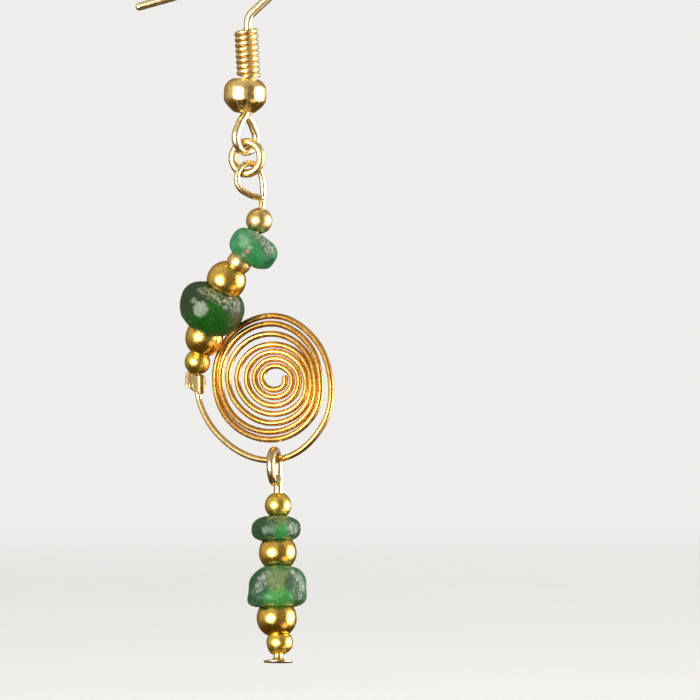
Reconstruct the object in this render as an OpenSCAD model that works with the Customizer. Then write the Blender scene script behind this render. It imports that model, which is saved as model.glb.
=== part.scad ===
// Spiral bead earring: ear hook, jump ring, beaded spiral wire and a beaded dangle.
// Millimetres. +X runs to the right seen from the front, +Y to the back, +Z up.
// The origin is the inner top of the hook's arch, where it hangs in the ear.

/* [Wires] */
// Thickness of the ear hook's wire
hook_wire_d = 0.78; // [0.74:0.01:0.8]
// Thickness of the fine wire wound round the hook's stem
coil_wire_d = 0.48; // [0.44:0.01:0.48]
// Thickness of the jump ring's wire
ring_wire_d = 0.82; // [0.74:0.01:0.82]
// Thickness of the wire that carries the upper beads and makes the spiral
spiral_wire_d = 0.6; // [0.5:0.01:0.6]
// Thickness of the head pin's wire
pin_wire_d = 0.85; // [0.7:0.01:0.86]

/* [Hook] */
// Radius of the arch, to the middle of the wire
arch_r = 3.1; // [3:0.05:3.2]
// Length of the stem below its last bend, down to where the eye's strands meet
stem_run = 8.45; // [8.4:0.05:8.5]
// Radius of the eye, to the middle of the wire
eye_r = 1.27; // [1.25:0.01:1.3]
// Height from the eye's middle to the point where its strands meet
eye_neck = 2.05; // [2:0.01:2.1]
// Turn of the eye out of the hook's plane, in degrees
eye_turn = 45; // [40:1:50]
// Width of the ball over its belt
ball_d = 3.88; // [3.6:0.02:3.9]
// Height of the ball between its flat ends
ball_h = 3.24; // [3.1:0.02:3.3]
// Width of the coil over its turns
coil_d = 2.2; // [2.18:0.01:2.24]
// Number of turns of the coil
coil_turns = 8.4; // [7:0.1:8.4]
// Height from one turn of the coil to the next
coil_pitch = 0.503; // [0.5:0.001:0.503]

/* [Jump ring] */
// Radius of the jump ring, to the middle of the wire
ring_r = 1.41; // [1.38:0.01:1.42]
// Turn of the jump ring out of the hook's plane, in degrees
ring_turn = -23.6; // [-28:0.2:-20]

/* [Beads] */
// Hole through each bead on the spiral wire
upper_bore_d = 1.06; // [0.96:0.02:1.1]
// Hole through each bead on the head pin
lower_bore_d = 1; // [0.96:0.01:1.04]
// Space left between pieces that touch on the real earring
gap = 0.04; // [0.03:0.01:0.06]

/* [Crimp] */
// Width of the squeezed crimp
crimp_w = 2; // [1.9:0.05:2.1]
// Thickness of the squeezed crimp
crimp_t = 1.3; // [1.2:0.05:1.4]
// Length of the squeezed crimp
crimp_h = 1.95; // [1.8:0.05:2]

/* [Dangle] */
// Radius of the dangle's eye, to the middle of the wire
dangle_eye_r = 1.39; // [1.38:0.01:1.42]
// Turn of the dangle's eye out of the front-to-back plane, in degrees
dangle_turn = 13; // [10:1:16]
// Forward lean of the pin, which brings its weight under the spiral's wire, in degrees
dangle_lean = 6.5; // [5:0.5:8]
// Sideways lean of the pin to the right, in degrees
dangle_side = 1.6; // [1:0.2:2]
// Width of the head at the pin's foot
head_d = 2.64; // [2.4:0.02:2.8]

/* [Hidden] */

gold = "goldenrod";
bright_gold = "khaki";
copper_gold = "darkgoldenrod";
green = "seagreen";
dark_green = "darkgreen";
round_fn = 48;

// Bends of the hook's wire. Columns: straight run before the bend, bend radius, bend angle,
// clockwise seen from the front
RUN = 0;
RADIUS = 1;
ANGLE = 2;
bend_step = 10;
// From the top of the arch to the front, down the stem
STEM_BENDS = [
    [0, arch_r, 90],
    [2.75, 1.2, 47],
    [1.95, 1.2, -45.7]
];
stem_tilt = 1.3;
// From the top of the arch to the back, out along the tail
TAIL_BENDS = [
    [0, arch_r, -90],
    [0, 3.6, 74],
    [3.75, 0, 0]
];
// The eye's strands lean apart below their neck, where its end comes back and is soldered
eye_lean = asin(eye_r / eye_neck);
eye_strand = sqrt(pow(eye_neck, 2) - pow(eye_r, 2));
neck_bend_r = 0.45;
neck_cut = neck_bend_r * tan(eye_lean / 2);
end_cut = 0.75;
EYE_BENDS = [
    [0, neck_bend_r, eye_lean],
    [eye_strand - neck_cut, eye_r, -180 - 2 * eye_lean],
    [eye_strand - end_cut, 0, 0]
];

// Way ahead and way to the right for a heading, counted clockwise from straight up
function ahead(heading) = [sin(heading), cos(heading)];
function right_of(heading) = [cos(heading), -sin(heading)];

// Points along a bent wire, walked from a table of bends
function walk(rows, at, heading, i = 0) =
    i == len(rows) ? [at] :
    let (
        bend = rows[i][ANGLE],
        arm = sign(bend) * rows[i][RADIUS],
        start = at + rows[i][RUN] * ahead(heading),
        centre = start + arm * right_of(heading),
        n = ceil(abs(bend) / bend_step)
    )
    concat(
        rows[i][RUN] > 0 ? [at] : [],
        [for (k = [0:1:n - 1]) centre - arm * right_of(heading + bend * k / n)],
        walk(rows, centre - arm * right_of(heading + bend), heading + bend, i + 1)
    );

stem_walk = walk(STEM_BENDS, [0, hook_wire_d / 2], 90);
tail_walk = walk(TAIL_BENDS, [0, hook_wire_d / 2], -90);
eye_walk = walk(EYE_BENDS, [0, neck_cut], 180);
stem_top = stem_walk[len(stem_walk) - 1];
tail_tip = tail_walk[len(tail_walk) - 1];
function stem_x(z) = stem_top[0] + (z - stem_top[1]) * tan(stem_tilt);
apex_z = stem_top[1] - stem_run * cos(stem_tilt);
function eye_point(p) = [
    stem_x(apex_z) + p[0] * cos(eye_turn),
    p[0] * sin(eye_turn),
    apex_z + p[1]
];
eye_path = [for (p = eye_walk) eye_point(p)];
hook_path = concat(
    [for (i = [len(tail_walk) - 1:-1:1]) [tail_walk[i][0], 0, tail_walk[i][1]]],
    [for (p = stem_walk) [p[0], 0, p[1]]],
    eye_path
);
eye_z = apex_z - eye_neck;
eye_bottom_z = eye_z - eye_r;
ball_z = apex_z + 0.1 + ball_h / 2;
ball_shift = -0.12;
coil_r = (coil_d - coil_wire_d) / 2;
coil_low_z = ball_z + ball_h / 2 + coil_wire_d / 2 + gap;
coil_tilt = 3.2;
coil_steps = 14;

// Jump ring: its top hangs over the eye's bottom
ring_z = eye_bottom_z + (hook_wire_d + ring_wire_d) / 2 + gap - ring_r;
ring_x = stem_x(apex_z) + 0.08;
ring_bottom_z = ring_z - ring_r;

// Spiral wire: the top loop. Columns: across the loop, out of the loop's plane, height
loop_turn = 30;
loop_stem = [2.22, 0.72];
loop_top_z = ring_bottom_z + (ring_wire_d + spiral_wire_d) / 2 + gap + 0.17;
LOOP = [
    [-0.1, -0.68, loop_top_z - 3.2],
    [-0.6, -0.58, loop_top_z - 3.12],
    [-1.14, -0.42, loop_top_z - 3.02],
    [-1.68, -0.24, loop_top_z - 2.8],
    [-2.24, -0.1, loop_top_z - 2.44],
    [-2.58, 0, loop_top_z - 1.9],
    [-2.66, 0, loop_top_z - 1.28],
    [-2.46, 0, loop_top_z - 0.66],
    [-1.96, 0, loop_top_z - 0.18],
    [-1.36, 0, loop_top_z],
    [-0.8, 0, loop_top_z - 0.14],
    [-0.36, 0, loop_top_z - 0.55],
    [-0.08, 0, loop_top_z - 1.3],
    [0.04, 0, loop_top_z - 2.1],
    [0.02, -0.04, loop_top_z - 2.9]
];

// Upper beads, where the wire crosses their middles. Columns: x, y, z, radius (0 for glass)
UPPER = [
    [1.92, 0.2, -26.57, 1.2],
    [1.06, 0, -28.84, 0],
    [0.11, 0.1, -30.36, 1.12],
    [-1.08, 0.55, -31.99, 1.8],
    [-2.27, 1.2, -34.59, 0],
    [-3.15, 2.2, -37.18, 1.76],
    [-3.81, 3.05, -39.42, 1.18],
    [-3.93, 3.55, -41.3, 0]
];
crimp_row = 7;
upper_at = [for (row = UPPER) [row[0], row[1], row[2]]];

// Spiral: radius seen from the front at eight directions, then the sideways slant in degrees.
// One row a turn, from the middle out. Columns: right, lower right, bottom, lower left,
// left, upper left, top, upper right, slant
SPIRAL = [
    [0.94, 1.06, 1.06, 1.15, 1.18, 1.14, 1.11, 1.25, 20],
    [1.56, 1.71, 1.74, 1.81, 1.86, 1.8, 1.76, 1.87, 20],
    [2.19, 2.39, 2.49, 2.53, 2.58, 2.5, 2.4, 2.48, 20],
    [2.82, 3.18, 3.26, 3.34, 3.47, 3.28, 3.04, 3.08, 20],
    [3.26, 3.77, 4.08, 4.17, 4.34, 4.26, 4, 3.68, 24.5],
    [3.65, 4.32, 4.86, 5.14, 5.04, 5.09, 4.92, 4.33, 29],
    [4.13, 4.87, 5.55, 5.74, 5.56, 5.68, 5.64, 5.05, 31],
    [5.05, 6.1, 7.41, 7.36, 7.3, 7.3, 7.3, 7.3, 31]
];
spiral_centre = [3.36, -0.35, -40.86];
// Backward lean of the spiral's top, as a slope
spiral_lean = 0.22;
spiral_from = -14;
spiral_to = 7 * 360 + 164;
spiral_step = 12;

// Where the spiral's outer turn carries the dangle
dangle_at = spiral_point(7 * 360 + 90);

// Lower beads. Columns: height below the pin eye's middle, sideways shift, radius (0 for glass)
LOWER = [
    [3.42, -0.02, 1.22],
    [5.55, -0.2, 0],
    [7.68, -0.06, 1.73],
    [10.77, -0.05, 0],
    [13.6, -0.14, 1.82],
    [15.82, 0.14, 1.21]
];
head_z = -17.42;
head_t = 0.26;

// Glass beads. Columns: radius, half length, squareness, taper, lump, lumps round, turn
SMALL = [2.12, 1.32, 2.4, 0, 0.03, 3, 20];
LARGE = [3, 2.35, 2.3, -0.04, 0.035, 5, 40];
RONDELLE = [2.18, 1.24, 2.6, 0.02, 0.03, 4, 10];
CHUNK = [2.66, 1.95, 3.2, 0.13, 0.05, 5, 75];
pebble_sides = 20;
pebble_rings = 12;

// Smooth value between four evenly spaced ones, a to d, with t from 0 at b to 1 at c
function blend(a, b, c, d, t) =
    b + 0.5 * t * (c - a + t * (2 * a - 5 * b + 4 * c - d + t * (3 * (b - c) + d - a)));

// Smooth curve through a list of points, with a number of steps from each to the next
function smooth(points, steps) = [
    for (i = [0:len(points) - 2], k = [0:steps - 1])
        blend(points[max(i - 1, 0)], points[i], points[i + 1],
              points[min(i + 2, len(points) - 1)], k / steps),
    points[len(points) - 1]
];

// Spiral radius and slant at an angle counted from the first row's right side
function spiral_radius(eighth) =
    let (e = min(max(eighth, 0), len(SPIRAL) * 8 - 1)) SPIRAL[floor(e / 8)][e % 8];
function spiral_slant(turn) =
    let (t = min(max(floor(turn), 0), len(SPIRAL) - 2))
    SPIRAL[t][8] + (SPIRAL[t + 1][8] - SPIRAL[t][8]) * min(max(turn - t, 0), 1);
function spiral_point(angle) =
    let (
        e = floor(angle / 45),
        r = blend(spiral_radius(e - 1), spiral_radius(e), spiral_radius(e + 1),
                  spiral_radius(e + 2), angle / 45 - e),
        x = r * cos(angle),
        z = -r * sin(angle)
    )
    spiral_centre + [x, z * spiral_lean - x * tan(spiral_slant(angle / 360)), z];

function loop_point(row) = [
    loop_stem[0] + row[0] * cos(loop_turn) - row[1] * sin(loop_turn),
    loop_stem[1] + row[0] * sin(loop_turn) + row[1] * cos(loop_turn),
    row[2]
];
loop_path = smooth([for (row = LOOP) loop_point(row)], 3);
spiral_path = [for (a = [spiral_to:-spiral_step:spiral_from]) spiral_point(a)];
string_steps = 4;
string_path = smooth(concat(
    [loop_path[len(loop_path) - 1]],
    upper_at,
    [spiral_path[0]]
), string_steps);
wire_path = concat(
    [for (i = [0:len(loop_path) - 2]) loop_path[i]],
    [for (i = [0:len(string_path) - 2]) string_path[i]],
    spiral_path
);

function unit(v) = v / norm(v);
function along(points, i) =
    unit(points[min(i + 1, len(points) - 1)] - points[max(i - 1, 0)]);
function square_to(v, t) = unit(v - (v * t) * t);

// A round wire swept along points, as rings of flat sides carried without twist
module swept_wire(points, wire_r, sides, first) {
    last = len(points) - 1;
    sides_of = [
        for (i = 0, v = square_to(first, along(points, 0)); i <= last;
             i = i + 1, v = i > last ? v : square_to(v, along(points, i))) v
    ];
    corners = [
        for (i = [0:last], k = [0:sides - 1])
            points[i] + wire_r * (cos(360 * k / sides) * sides_of[i]
                + sin(360 * k / sides) * cross(along(points, i), sides_of[i]))
    ];
    walls = [
        for (i = [0:last - 1], k = [0:sides - 1], half = [0, 1])
            let (
                a = i * sides + k,
                b = i * sides + (k + 1) % sides
            )
            half == 0 ? [a, a + sides, b] : [b, a + sides, b + sides]
    ];
    ends = [
        [for (k = [0:sides - 1]) k],
        [for (k = [sides - 1:-1:0]) last * sides + k]
    ];
    polyhedron(corners, concat(walls, ends));
}

// Places its children with +Z along a direction
module aim(at, direction) {
    translate(at)
        rotate([0, acos(direction[2]), atan2(direction[1], direction[0])])
            children();
}

function pebble_radius(row, s, turn) =
    row[0] * pow(max(cos(s), 0), 2 / row[2])
        * (1 - row[3] * sin(s))
        * (1 + row[4] * cos(row[5] * turn + row[6]) * cos(s));

// A rolled glass bead before it is drilled: a rounded drum with low lumps
module pebble(row) {
    rings = [for (k = [1:pebble_rings - 1]) -90 + 180 * k / pebble_rings];
    corners = concat(
        [
            for (s = rings, k = [0:pebble_sides - 1])
                let (
                    turn = 360 * k / pebble_sides,
                    r = pebble_radius(row, s, turn)
                )
                [r * cos(turn), r * sin(turn), row[1] * sign(s) * pow(abs(sin(s)), 2 / row[2])]
        ],
        [[0, 0, -row[1]], [0, 0, row[1]]]
    );
    last = len(rings) - 1;
    low = len(rings) * pebble_sides;
    faces = [
        for (i = [-1:last], k = [0:pebble_sides - 1], half = [0, 1])
            let (
                n = (k + 1) % pebble_sides,
                a = i * pebble_sides
            )
            if (i == -1 && half == 0) [low, k, n]
            else if (i == last && half == 0) [low + 1, a + n, a + k]
            else if (i >= 0 && i < last)
                half == 0 ? [a + k, a + pebble_sides + k, a + n]
                    : [a + n, a + pebble_sides + k, a + pebble_sides + n]
    ];
    polyhedron(corners, faces);
}

// The ball's hollow that a neighbouring round bead sits in
module seat(at, r) {
    translate(at)
        sphere(r = r + gap, $fn = round_fn);
}

module ear_hook() {
    wire_r = hook_wire_d / 2;
    eye_end = eye_path[len(eye_path) - 1];
    color(bright_gold) {
        swept_wire(hook_path, wire_r, 12, [0, 1, 0]);
        translate([tail_tip[0], 0, tail_tip[1]])
            sphere(r = wire_r - 0.03, $fn = round_fn);
        aim(eye_end, unit(eye_point([0, 0]) - eye_end))
            translate([0, 0, -0.4])
                cylinder(h = end_cut + 0.4, r = wire_r - 0.02, $fn = round_fn);
    }
}

module hook_coil() {
    wire_r = coil_wire_d / 2;
    length = coil_turns * coil_pitch;
    middle_z = coil_low_z + length / 2;
    helix = [
        for (k = [0:coil_turns * coil_steps])
            let (turn = 360 * k / coil_steps - 30)
            [coil_r * cos(turn), coil_r * sin(turn), coil_pitch * k / coil_steps - length / 2]
    ];
    color(gold)
        translate([stem_x(middle_z), 0, middle_z])
            rotate([0, -coil_tilt, 0])
                swept_wire(helix, wire_r, 6, [0, 0, 1]);
}

module hook_ball() {
    color(gold)
        translate([stem_x(ball_z), 0, ball_z])
            rotate([0, stem_tilt, 0])
                difference() {
                    translate([ball_shift, 0, 0])
                        intersection() {
                            sphere(r = ball_d / 2 + 0.14, $fn = round_fn);
                            cylinder(h = ball_h, d = ball_d, center = true, $fn = round_fn);
                        }
                    cylinder(h = 2 * ball_h, d = hook_wire_d + 0.14, center = true, $fn = round_fn);
                }
}

module jump_ring() {
    color(gold)
        translate([ring_x, 0, ring_z])
            rotate([90, 0, ring_turn])
                rotate_extrude($fn = round_fn)
                    translate([ring_r, 0])
                        circle(ring_wire_d / 2);
}

module spiral_wire() {
    color(copper_gold)
        swept_wire(wire_path, spiral_wire_d / 2, 8, [0, 1, 0]);
}

// Direction of the wire through an upper bead, from below
function upper_way(i) =
    let (row = string_steps * (i + 1)) unit(string_path[row - 2] - string_path[row + 2]);

module upper_bore(i) {
    aim(upper_at[i], upper_way(i))
        cylinder(h = 8, d = upper_bore_d, center = true, $fn = round_fn);
}

// A drilled gold bead on the spiral wire, hollowed for the bead above or below it
module upper_gold(i, seats = []) {
    color(gold)
        difference() {
            aim(upper_at[i], upper_way(i))
                sphere(r = UPPER[i][3], $fn = round_fn);
            upper_bore(i);
            for (k = seats)
                seat(upper_at[k], UPPER[k][3]);
        }
}

// A drilled glass bead on the spiral wire, with its body's shift and its own tilt
module upper_glass(i, row, shift, tilt) {
    difference() {
        aim(upper_at[i] + shift, upper_way(i))
            rotate(tilt)
                pebble(row);
        upper_bore(i);
        seat(upper_at[i - 1], UPPER[i - 1][3]);
        seat(upper_at[i + 1], UPPER[i + 1][3]);
    }
}

module upper_gold_small_1() {
    upper_gold(0);
}

module upper_glass_small() {
    color(green)
        upper_glass(1, SMALL, [0.3, 0, -0.25], [0, 6, 0]);
}

module upper_gold_small_2() {
    upper_gold(2);
}

module upper_gold_large_1() {
    upper_gold(3, [2]);
}

module upper_glass_large() {
    color(dark_green)
        upper_glass(4, LARGE, [-0.15, 0, 0], [0, 0, 0]);
}

module upper_gold_large_2() {
    upper_gold(5, [6]);
}

module upper_gold_small_3() {
    upper_gold(6);
}

// The crimp is a tube squeezed flat, with a groove left by the pliers
module crimp() {
    side_r = crimp_t / 2;
    color(bright_gold)
        difference() {
            aim(upper_at[crimp_row], upper_way(crimp_row))
                rotate([0, 0, -60])
                    difference() {
                        linear_extrude(height = crimp_h, center = true)
                            union() {
                                square([crimp_w - crimp_t, crimp_t], center = true);
                                for (side = [-1, 1])
                                    translate([side * (crimp_w - crimp_t) / 2, 0])
                                        circle(side_r, $fn = round_fn);
                            }
                        translate([-0.35, -side_r - 0.25, 0])
                            cylinder(h = 2 * crimp_h, r = 0.34, center = true, $fn = round_fn);
                    }
            aim(upper_at[crimp_row], upper_way(crimp_row))
                cylinder(h = 8, d = spiral_wire_d + 0.36, center = true, $fn = round_fn);
            seat(upper_at[crimp_row - 1], UPPER[crimp_row - 1][3]);
        }
}

// The dangle's frame: the eye's middle, with the pin straight down from the eye's back strand
dangle_drop = dangle_eye_r - (pin_wire_d + spiral_wire_d) / 2 - gap - 0.04;

module dangle_frame() {
    translate(dangle_at)
        rotate([-dangle_lean, -dangle_side, -dangle_turn])
            translate([0, 0, -dangle_drop])
                children();
}

module head_pin() {
    wire_r = pin_wire_d / 2;
    stem_h = -head_z;
    color(bright_gold)
        dangle_frame() {
            rotate([90, 0, 90])
                rotate_extrude(angle = 322, $fn = round_fn)
                    translate([dangle_eye_r, 0])
                        circle(wire_r);
            translate([0, dangle_eye_r, -stem_h])
                cylinder(h = stem_h, r = wire_r, $fn = round_fn);
            translate([0, dangle_eye_r, head_z]) {
                cylinder(h = 0.35, r1 = wire_r + 0.22, r2 = wire_r, $fn = round_fn);
                translate([0, 0, -head_t])
                    cylinder(h = head_t, r1 = head_d / 2 - 0.12, r2 = head_d / 2, $fn = round_fn);
            }
        }
}

function lower_at(i) = [LOWER[i][1], dangle_eye_r, -LOWER[i][0]];

module lower_bore() {
    translate([0, dangle_eye_r, -20])
        cylinder(h = 20, d = lower_bore_d, $fn = round_fn);
}

// A drilled gold bead on the head pin, hollowed for the bead below it
module lower_gold(i, seats = []) {
    color(gold)
        dangle_frame()
            difference() {
                translate(lower_at(i))
                    sphere(r = LOWER[i][2], $fn = round_fn);
                lower_bore();
                for (k = seats)
                    seat(lower_at(k), LOWER[k][2]);
            }
}

// A drilled glass bead on the head pin, hollowed for both of its neighbours
module lower_glass(i, row) {
    dangle_frame()
        difference() {
            translate(lower_at(i))
                pebble(row);
            lower_bore();
            seat(lower_at(i - 1), LOWER[i - 1][2]);
            seat(lower_at(i + 1), LOWER[i + 1][2]);
        }
}

module lower_gold_small_1() {
    lower_gold(0);
}

module lower_glass_rondelle() {
    color(green)
        lower_glass(1, RONDELLE);
}

module lower_gold_medium() {
    lower_gold(2);
}

module lower_glass_chunk() {
    color(green)
        lower_glass(3, CHUNK);
}

module lower_gold_large() {
    lower_gold(4, [5]);
}

module lower_gold_small_2() {
    lower_gold(5);
}

ear_hook();
hook_coil();
hook_ball();
jump_ring();
spiral_wire();
upper_gold_small_1();
upper_glass_small();
upper_gold_small_2();
upper_gold_large_1();
upper_glass_large();
upper_gold_large_2();
upper_gold_small_3();
crimp();
head_pin();
lower_gold_small_1();
lower_glass_rondelle();
lower_gold_medium();
lower_glass_chunk();
lower_gold_large();
lower_gold_small_2();
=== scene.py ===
import logging
import math
from dataclasses import dataclass
from enum import Enum
from functools import cache
from typing import Any, Callable, ClassVar, Optional, Sequence

import bpy
import numpy as np
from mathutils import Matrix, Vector


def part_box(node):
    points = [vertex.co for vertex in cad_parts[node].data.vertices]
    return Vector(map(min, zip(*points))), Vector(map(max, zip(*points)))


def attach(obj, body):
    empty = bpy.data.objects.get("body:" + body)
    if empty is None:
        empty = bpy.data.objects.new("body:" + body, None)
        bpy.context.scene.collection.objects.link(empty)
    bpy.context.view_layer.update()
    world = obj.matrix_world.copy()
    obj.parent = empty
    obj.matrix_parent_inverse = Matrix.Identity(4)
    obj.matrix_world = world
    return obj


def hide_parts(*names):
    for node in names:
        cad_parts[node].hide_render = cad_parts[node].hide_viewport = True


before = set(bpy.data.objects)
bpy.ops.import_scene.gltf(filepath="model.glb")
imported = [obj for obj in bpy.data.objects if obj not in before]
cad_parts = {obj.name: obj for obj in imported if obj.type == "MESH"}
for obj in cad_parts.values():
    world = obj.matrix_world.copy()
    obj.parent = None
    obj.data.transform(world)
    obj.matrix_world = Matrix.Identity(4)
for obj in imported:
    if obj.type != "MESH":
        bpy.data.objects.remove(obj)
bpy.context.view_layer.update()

# Spiral bead earring. The sizes below are millimetres in the row's frame.
MM = 0.001
# The map of how far round and along a wire or bead each face lies
WRAP_MAP = "Wrap"
log = logging.getLogger("earring")

Colour = tuple[float, float, float]
Triple = tuple[float, float, float]


class Body(Enum):
    """The parts of the earring that swing on one another."""

    HOOK = "hook"
    RING = "ring"
    DROP = "drop"
    DANGLE = "dangle"


class Slot(Enum):
    """The finish slots named for the pieces."""

    HOOK = "hook_gold"
    COIL = "coil_gold"
    RING = "ring_gold"
    SPIRAL = "spiral_gold"
    BEAD = "bead_gold"
    CRIMP = "crimp_gold"
    PIN = "pin_gold"
    GLASS_LIGHT = "glass_light"
    GLASS_DARK = "glass_dark"


class Ends(Enum):
    """How the first and last ring of a skin are finished."""

    CAPPED = "capped"
    JOINED = "joined"


def unit(v: np.ndarray) -> np.ndarray:
    """The vector at length one."""
    return v / np.linalg.norm(v)


def turned(x: float = 0, y: float = 0, z: float = 0) -> np.ndarray:
    """A turn about X, then Y, then Z.

    Args:
        x: Degrees about X.
        y: Degrees about Y.
        z: Degrees about Z.

    Returns:
        The 3 by 3 matrix for column vectors.
    """
    a, b, c = (math.radians(v) for v in (x, y, z))
    about_x = np.array([[1, 0, 0], [0, math.cos(a), -math.sin(a)], [0, math.sin(a), math.cos(a)]])
    about_y = np.array([[math.cos(b), 0, math.sin(b)], [0, 1, 0], [-math.sin(b), 0, math.cos(b)]])
    about_z = np.array([[math.cos(c), -math.sin(c), 0], [math.sin(c), math.cos(c), 0], [0, 0, 1]])
    return about_z @ about_y @ about_x


def aimed(way: np.ndarray) -> np.ndarray:
    """The turn that brings +Z to a direction, as two bends of a wrist would."""
    tip, swing = math.acos(way[2]), math.atan2(way[1], way[0])
    return turned(y=math.degrees(tip), z=math.degrees(swing))


def blend(a: Any, b: Any, c: Any, d: Any, t: float) -> Any:
    """A smooth value at a share t of the way from b to c, with a before them and d after."""
    return b + 0.5 * t * (c - a + t * (2 * a - 5 * b + 4 * c - d + t * (3 * (b - c) + d - a)))


def smooth(points: np.ndarray, steps: int) -> np.ndarray:
    """A smooth curve through points.

    Args:
        points: The points, one a row.
        steps: How many points to make from each to the next.

    Returns:
        The curve's points, one a row.
    """
    last = len(points) - 1
    rows = [
        blend(points[max(i - 1, 0)], points[i], points[i + 1], points[min(i + 2, last)], k / steps)
        for i in range(last)
        for k in range(steps)
    ]
    return np.array(rows + [points[last]])


# Degrees from one point of a bend to the next, and how near two points are to be one, in millimetres
BEND_STEP = 2.5
NEAR = 1e-6


def walk(bends: Sequence[Triple], at: tuple[float, float], heading: float) -> np.ndarray:
    """Points along a wire bent in a plane.

    Args:
        bends: Rows of straight run, bend radius and bend angle, clockwise.
        at: Where the wire starts, across and up.
        heading: The way it starts, in degrees clockwise from straight up.

    Returns:
        The points, two numbers a row.
    """
    here = np.array(at, float)
    rows = [here]
    for run, radius, bend in bends:
        way = math.radians(heading)
        here = here + run * np.array([math.sin(way), math.cos(way)])
        arm = math.copysign(radius, bend)
        centre = here + arm * np.array([math.cos(way), -math.sin(way)])
        count = max(math.ceil(abs(bend) / BEND_STEP), 1)
        for k in range(count + 1):
            a = math.radians(heading + bend * k / count)
            rows.append(centre - arm * np.array([math.cos(a), -math.sin(a)]))
        here, heading = rows[-1], heading + bend
    kept = [rows[0]]
    for row in rows[1:]:
        if np.linalg.norm(row - kept[-1]) > NEAR:
            kept.append(row)
    return np.array(kept)


# How many waves a ripple adds up, and how many random numbers a grain draws from
WAVES = 10
GRAINS = 8192


def ripple(points: np.ndarray, size: float, seed: int) -> np.ndarray:
    """Slow unevenness over a surface.

    Args:
        points: The places, in millimetres.
        size: How far apart its swells lie, in millimetres.
        seed: Which pattern.

    Returns:
        One number a point, mostly between -1 and 1.
    """
    rng = np.random.default_rng(seed)
    total = np.zeros(points.shape[:-1])
    for _ in range(WAVES):
        way = unit(rng.normal(size=3)) * 2 * math.pi / (size * rng.uniform(0.6, 1.6))
        total += np.sin(points @ way + rng.uniform(0, 2 * math.pi))
    return total / 4


def grain(points: np.ndarray, size: float, seed: int) -> np.ndarray:
    """Fine random unevenness over a surface.

    Args:
        points: The places, in millimetres.
        size: How far apart its marks lie, in millimetres.
        seed: Which pattern.

    Returns:
        One number a point, between 0 and 1.
    """
    table = np.random.default_rng(seed).random(GRAINS)
    cell = np.floor(points / size).astype(np.int64)
    part = points / size - cell
    part = part * part * (3 - 2 * part)
    total = np.zeros(points.shape[:-1])
    for corner in np.ndindex(2, 2, 2):
        key = (cell + corner) @ np.array([7349, 19121, 31663]) & (GRAINS - 1)
        total += table[key] * np.where(corner, part, 1 - part).prod(-1)
    return total


@dataclass
class Skin:
    """Rings of points with faces between them.

    Attributes:
        rings: The points, by ring and round each ring, in millimetres.
        ends: Whether the end rings are capped or joined to each other.
    """

    rings: np.ndarray
    ends: Ends = Ends.CAPPED

    # Faces that meet at more than this many degrees keep a crisp edge
    CRISP = 48

    def bands(self) -> int:
        """How many bands of faces lie between the rings."""
        return len(self.rings) - (self.ends is Ends.CAPPED)

    def quads(self) -> np.ndarray:
        """Lays a face between each pair of neighbours on one ring and the next.

        Returns:
            The numbers of each face's four points, band by band.
        """
        count, round_it = self.rings.shape[:2]
        i, k = np.arange(self.bands())[:, None], np.arange(round_it)[None, :]
        here, after, across = i * round_it, (i + 1) % count * round_it, (k + 1) % round_it
        return np.stack((here + k, here + across, after + across, after + k), -1).reshape(-1, 4)

    def looks_in(self, quads: np.ndarray) -> bool:
        """Whether the faces look towards the middle on the whole, so that they have to be turned over."""
        a, b, c = (self.rings.reshape(-1, 3)[quads[:, n]] for n in range(3))
        return bool((np.cross(b - a, c - a) * (a - self.rings.mean((0, 1)))).sum() < 0)

    def wrap(self, made: bpy.types.Mesh, turned_over: bool) -> None:
        """Adds the map of how far round and along the skin each face lies.

        Args:
            made: The mesh, whose first faces are the bands, in order.
            turned_over: Whether the points of each face run the other way round.
        """
        round_it = self.rings.shape[1]
        steps = np.linalg.norm(np.roll(self.rings, -1, 0) - self.rings, axis=2).mean(1)
        along = np.concatenate([[0], np.cumsum(steps)])
        turn = np.arange(round_it + 1) / round_it
        row, col = np.repeat(np.arange(self.bands()), round_it), np.tile(np.arange(round_it), self.bands())
        corners = [(turn[col + a], along[row + b]) for a, b in ((0, 0), (1, 0), (1, 1), (0, 1))]
        uv = np.stack([np.stack(corner, -1) for corner in corners], 1)
        if turned_over:
            uv = uv[:, ::-1]
        flat = np.zeros((len(made.loops), 2), np.float32)
        flat[: uv.size // 2] = uv.reshape(-1, 2)
        made.uv_layers.new(name=WRAP_MAP).uv.foreach_set("vector", flat.ravel())

    def mesh(self, name: str) -> bpy.types.Mesh:
        """Makes the mesh.

        Args:
            name: The mesh's name.

        Returns:
            The closed mesh, in metres, with its map.
        """
        count, round_it = self.rings.shape[:2]
        quads = self.quads()
        turned_over = self.ends is Ends.JOINED and self.looks_in(quads)
        faces = (quads[:, ::-1] if turned_over else quads).tolist()
        if self.ends is Ends.CAPPED:
            first = list(range(round_it))
            faces += [first[::-1], [(count - 1) * round_it + k for k in first]]
        made = bpy.data.meshes.new(name)
        made.from_pydata((self.rings.reshape(-1, 3) * MM).tolist(), [], faces)
        self.wrap(made, turned_over)
        made.polygons.foreach_set("use_smooth", [True] * len(made.polygons))
        made.validate()
        self.face_out(made)
        made.set_sharp_from_angle(angle=math.radians(self.CRISP))
        return made

    @staticmethod
    def face_out(made: bpy.types.Mesh) -> None:
        """Turns the faces outwards if the mesh holds less than nothing.

        Args:
            made: The closed mesh.
        """
        made.calc_loop_triangles()
        at = np.empty(len(made.vertices) * 3)
        made.vertices.foreach_get("co", at)
        at = at.reshape(-1, 3)
        tri = np.empty(len(made.loop_triangles) * 3, np.int32)
        made.loop_triangles.foreach_get("vertices", tri)
        a, b, c = (at[tri.reshape(-1, 3)[:, n]] for n in range(3))
        if (a * np.cross(b, c)).sum() < 0:
            made.flip_normals()


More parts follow.
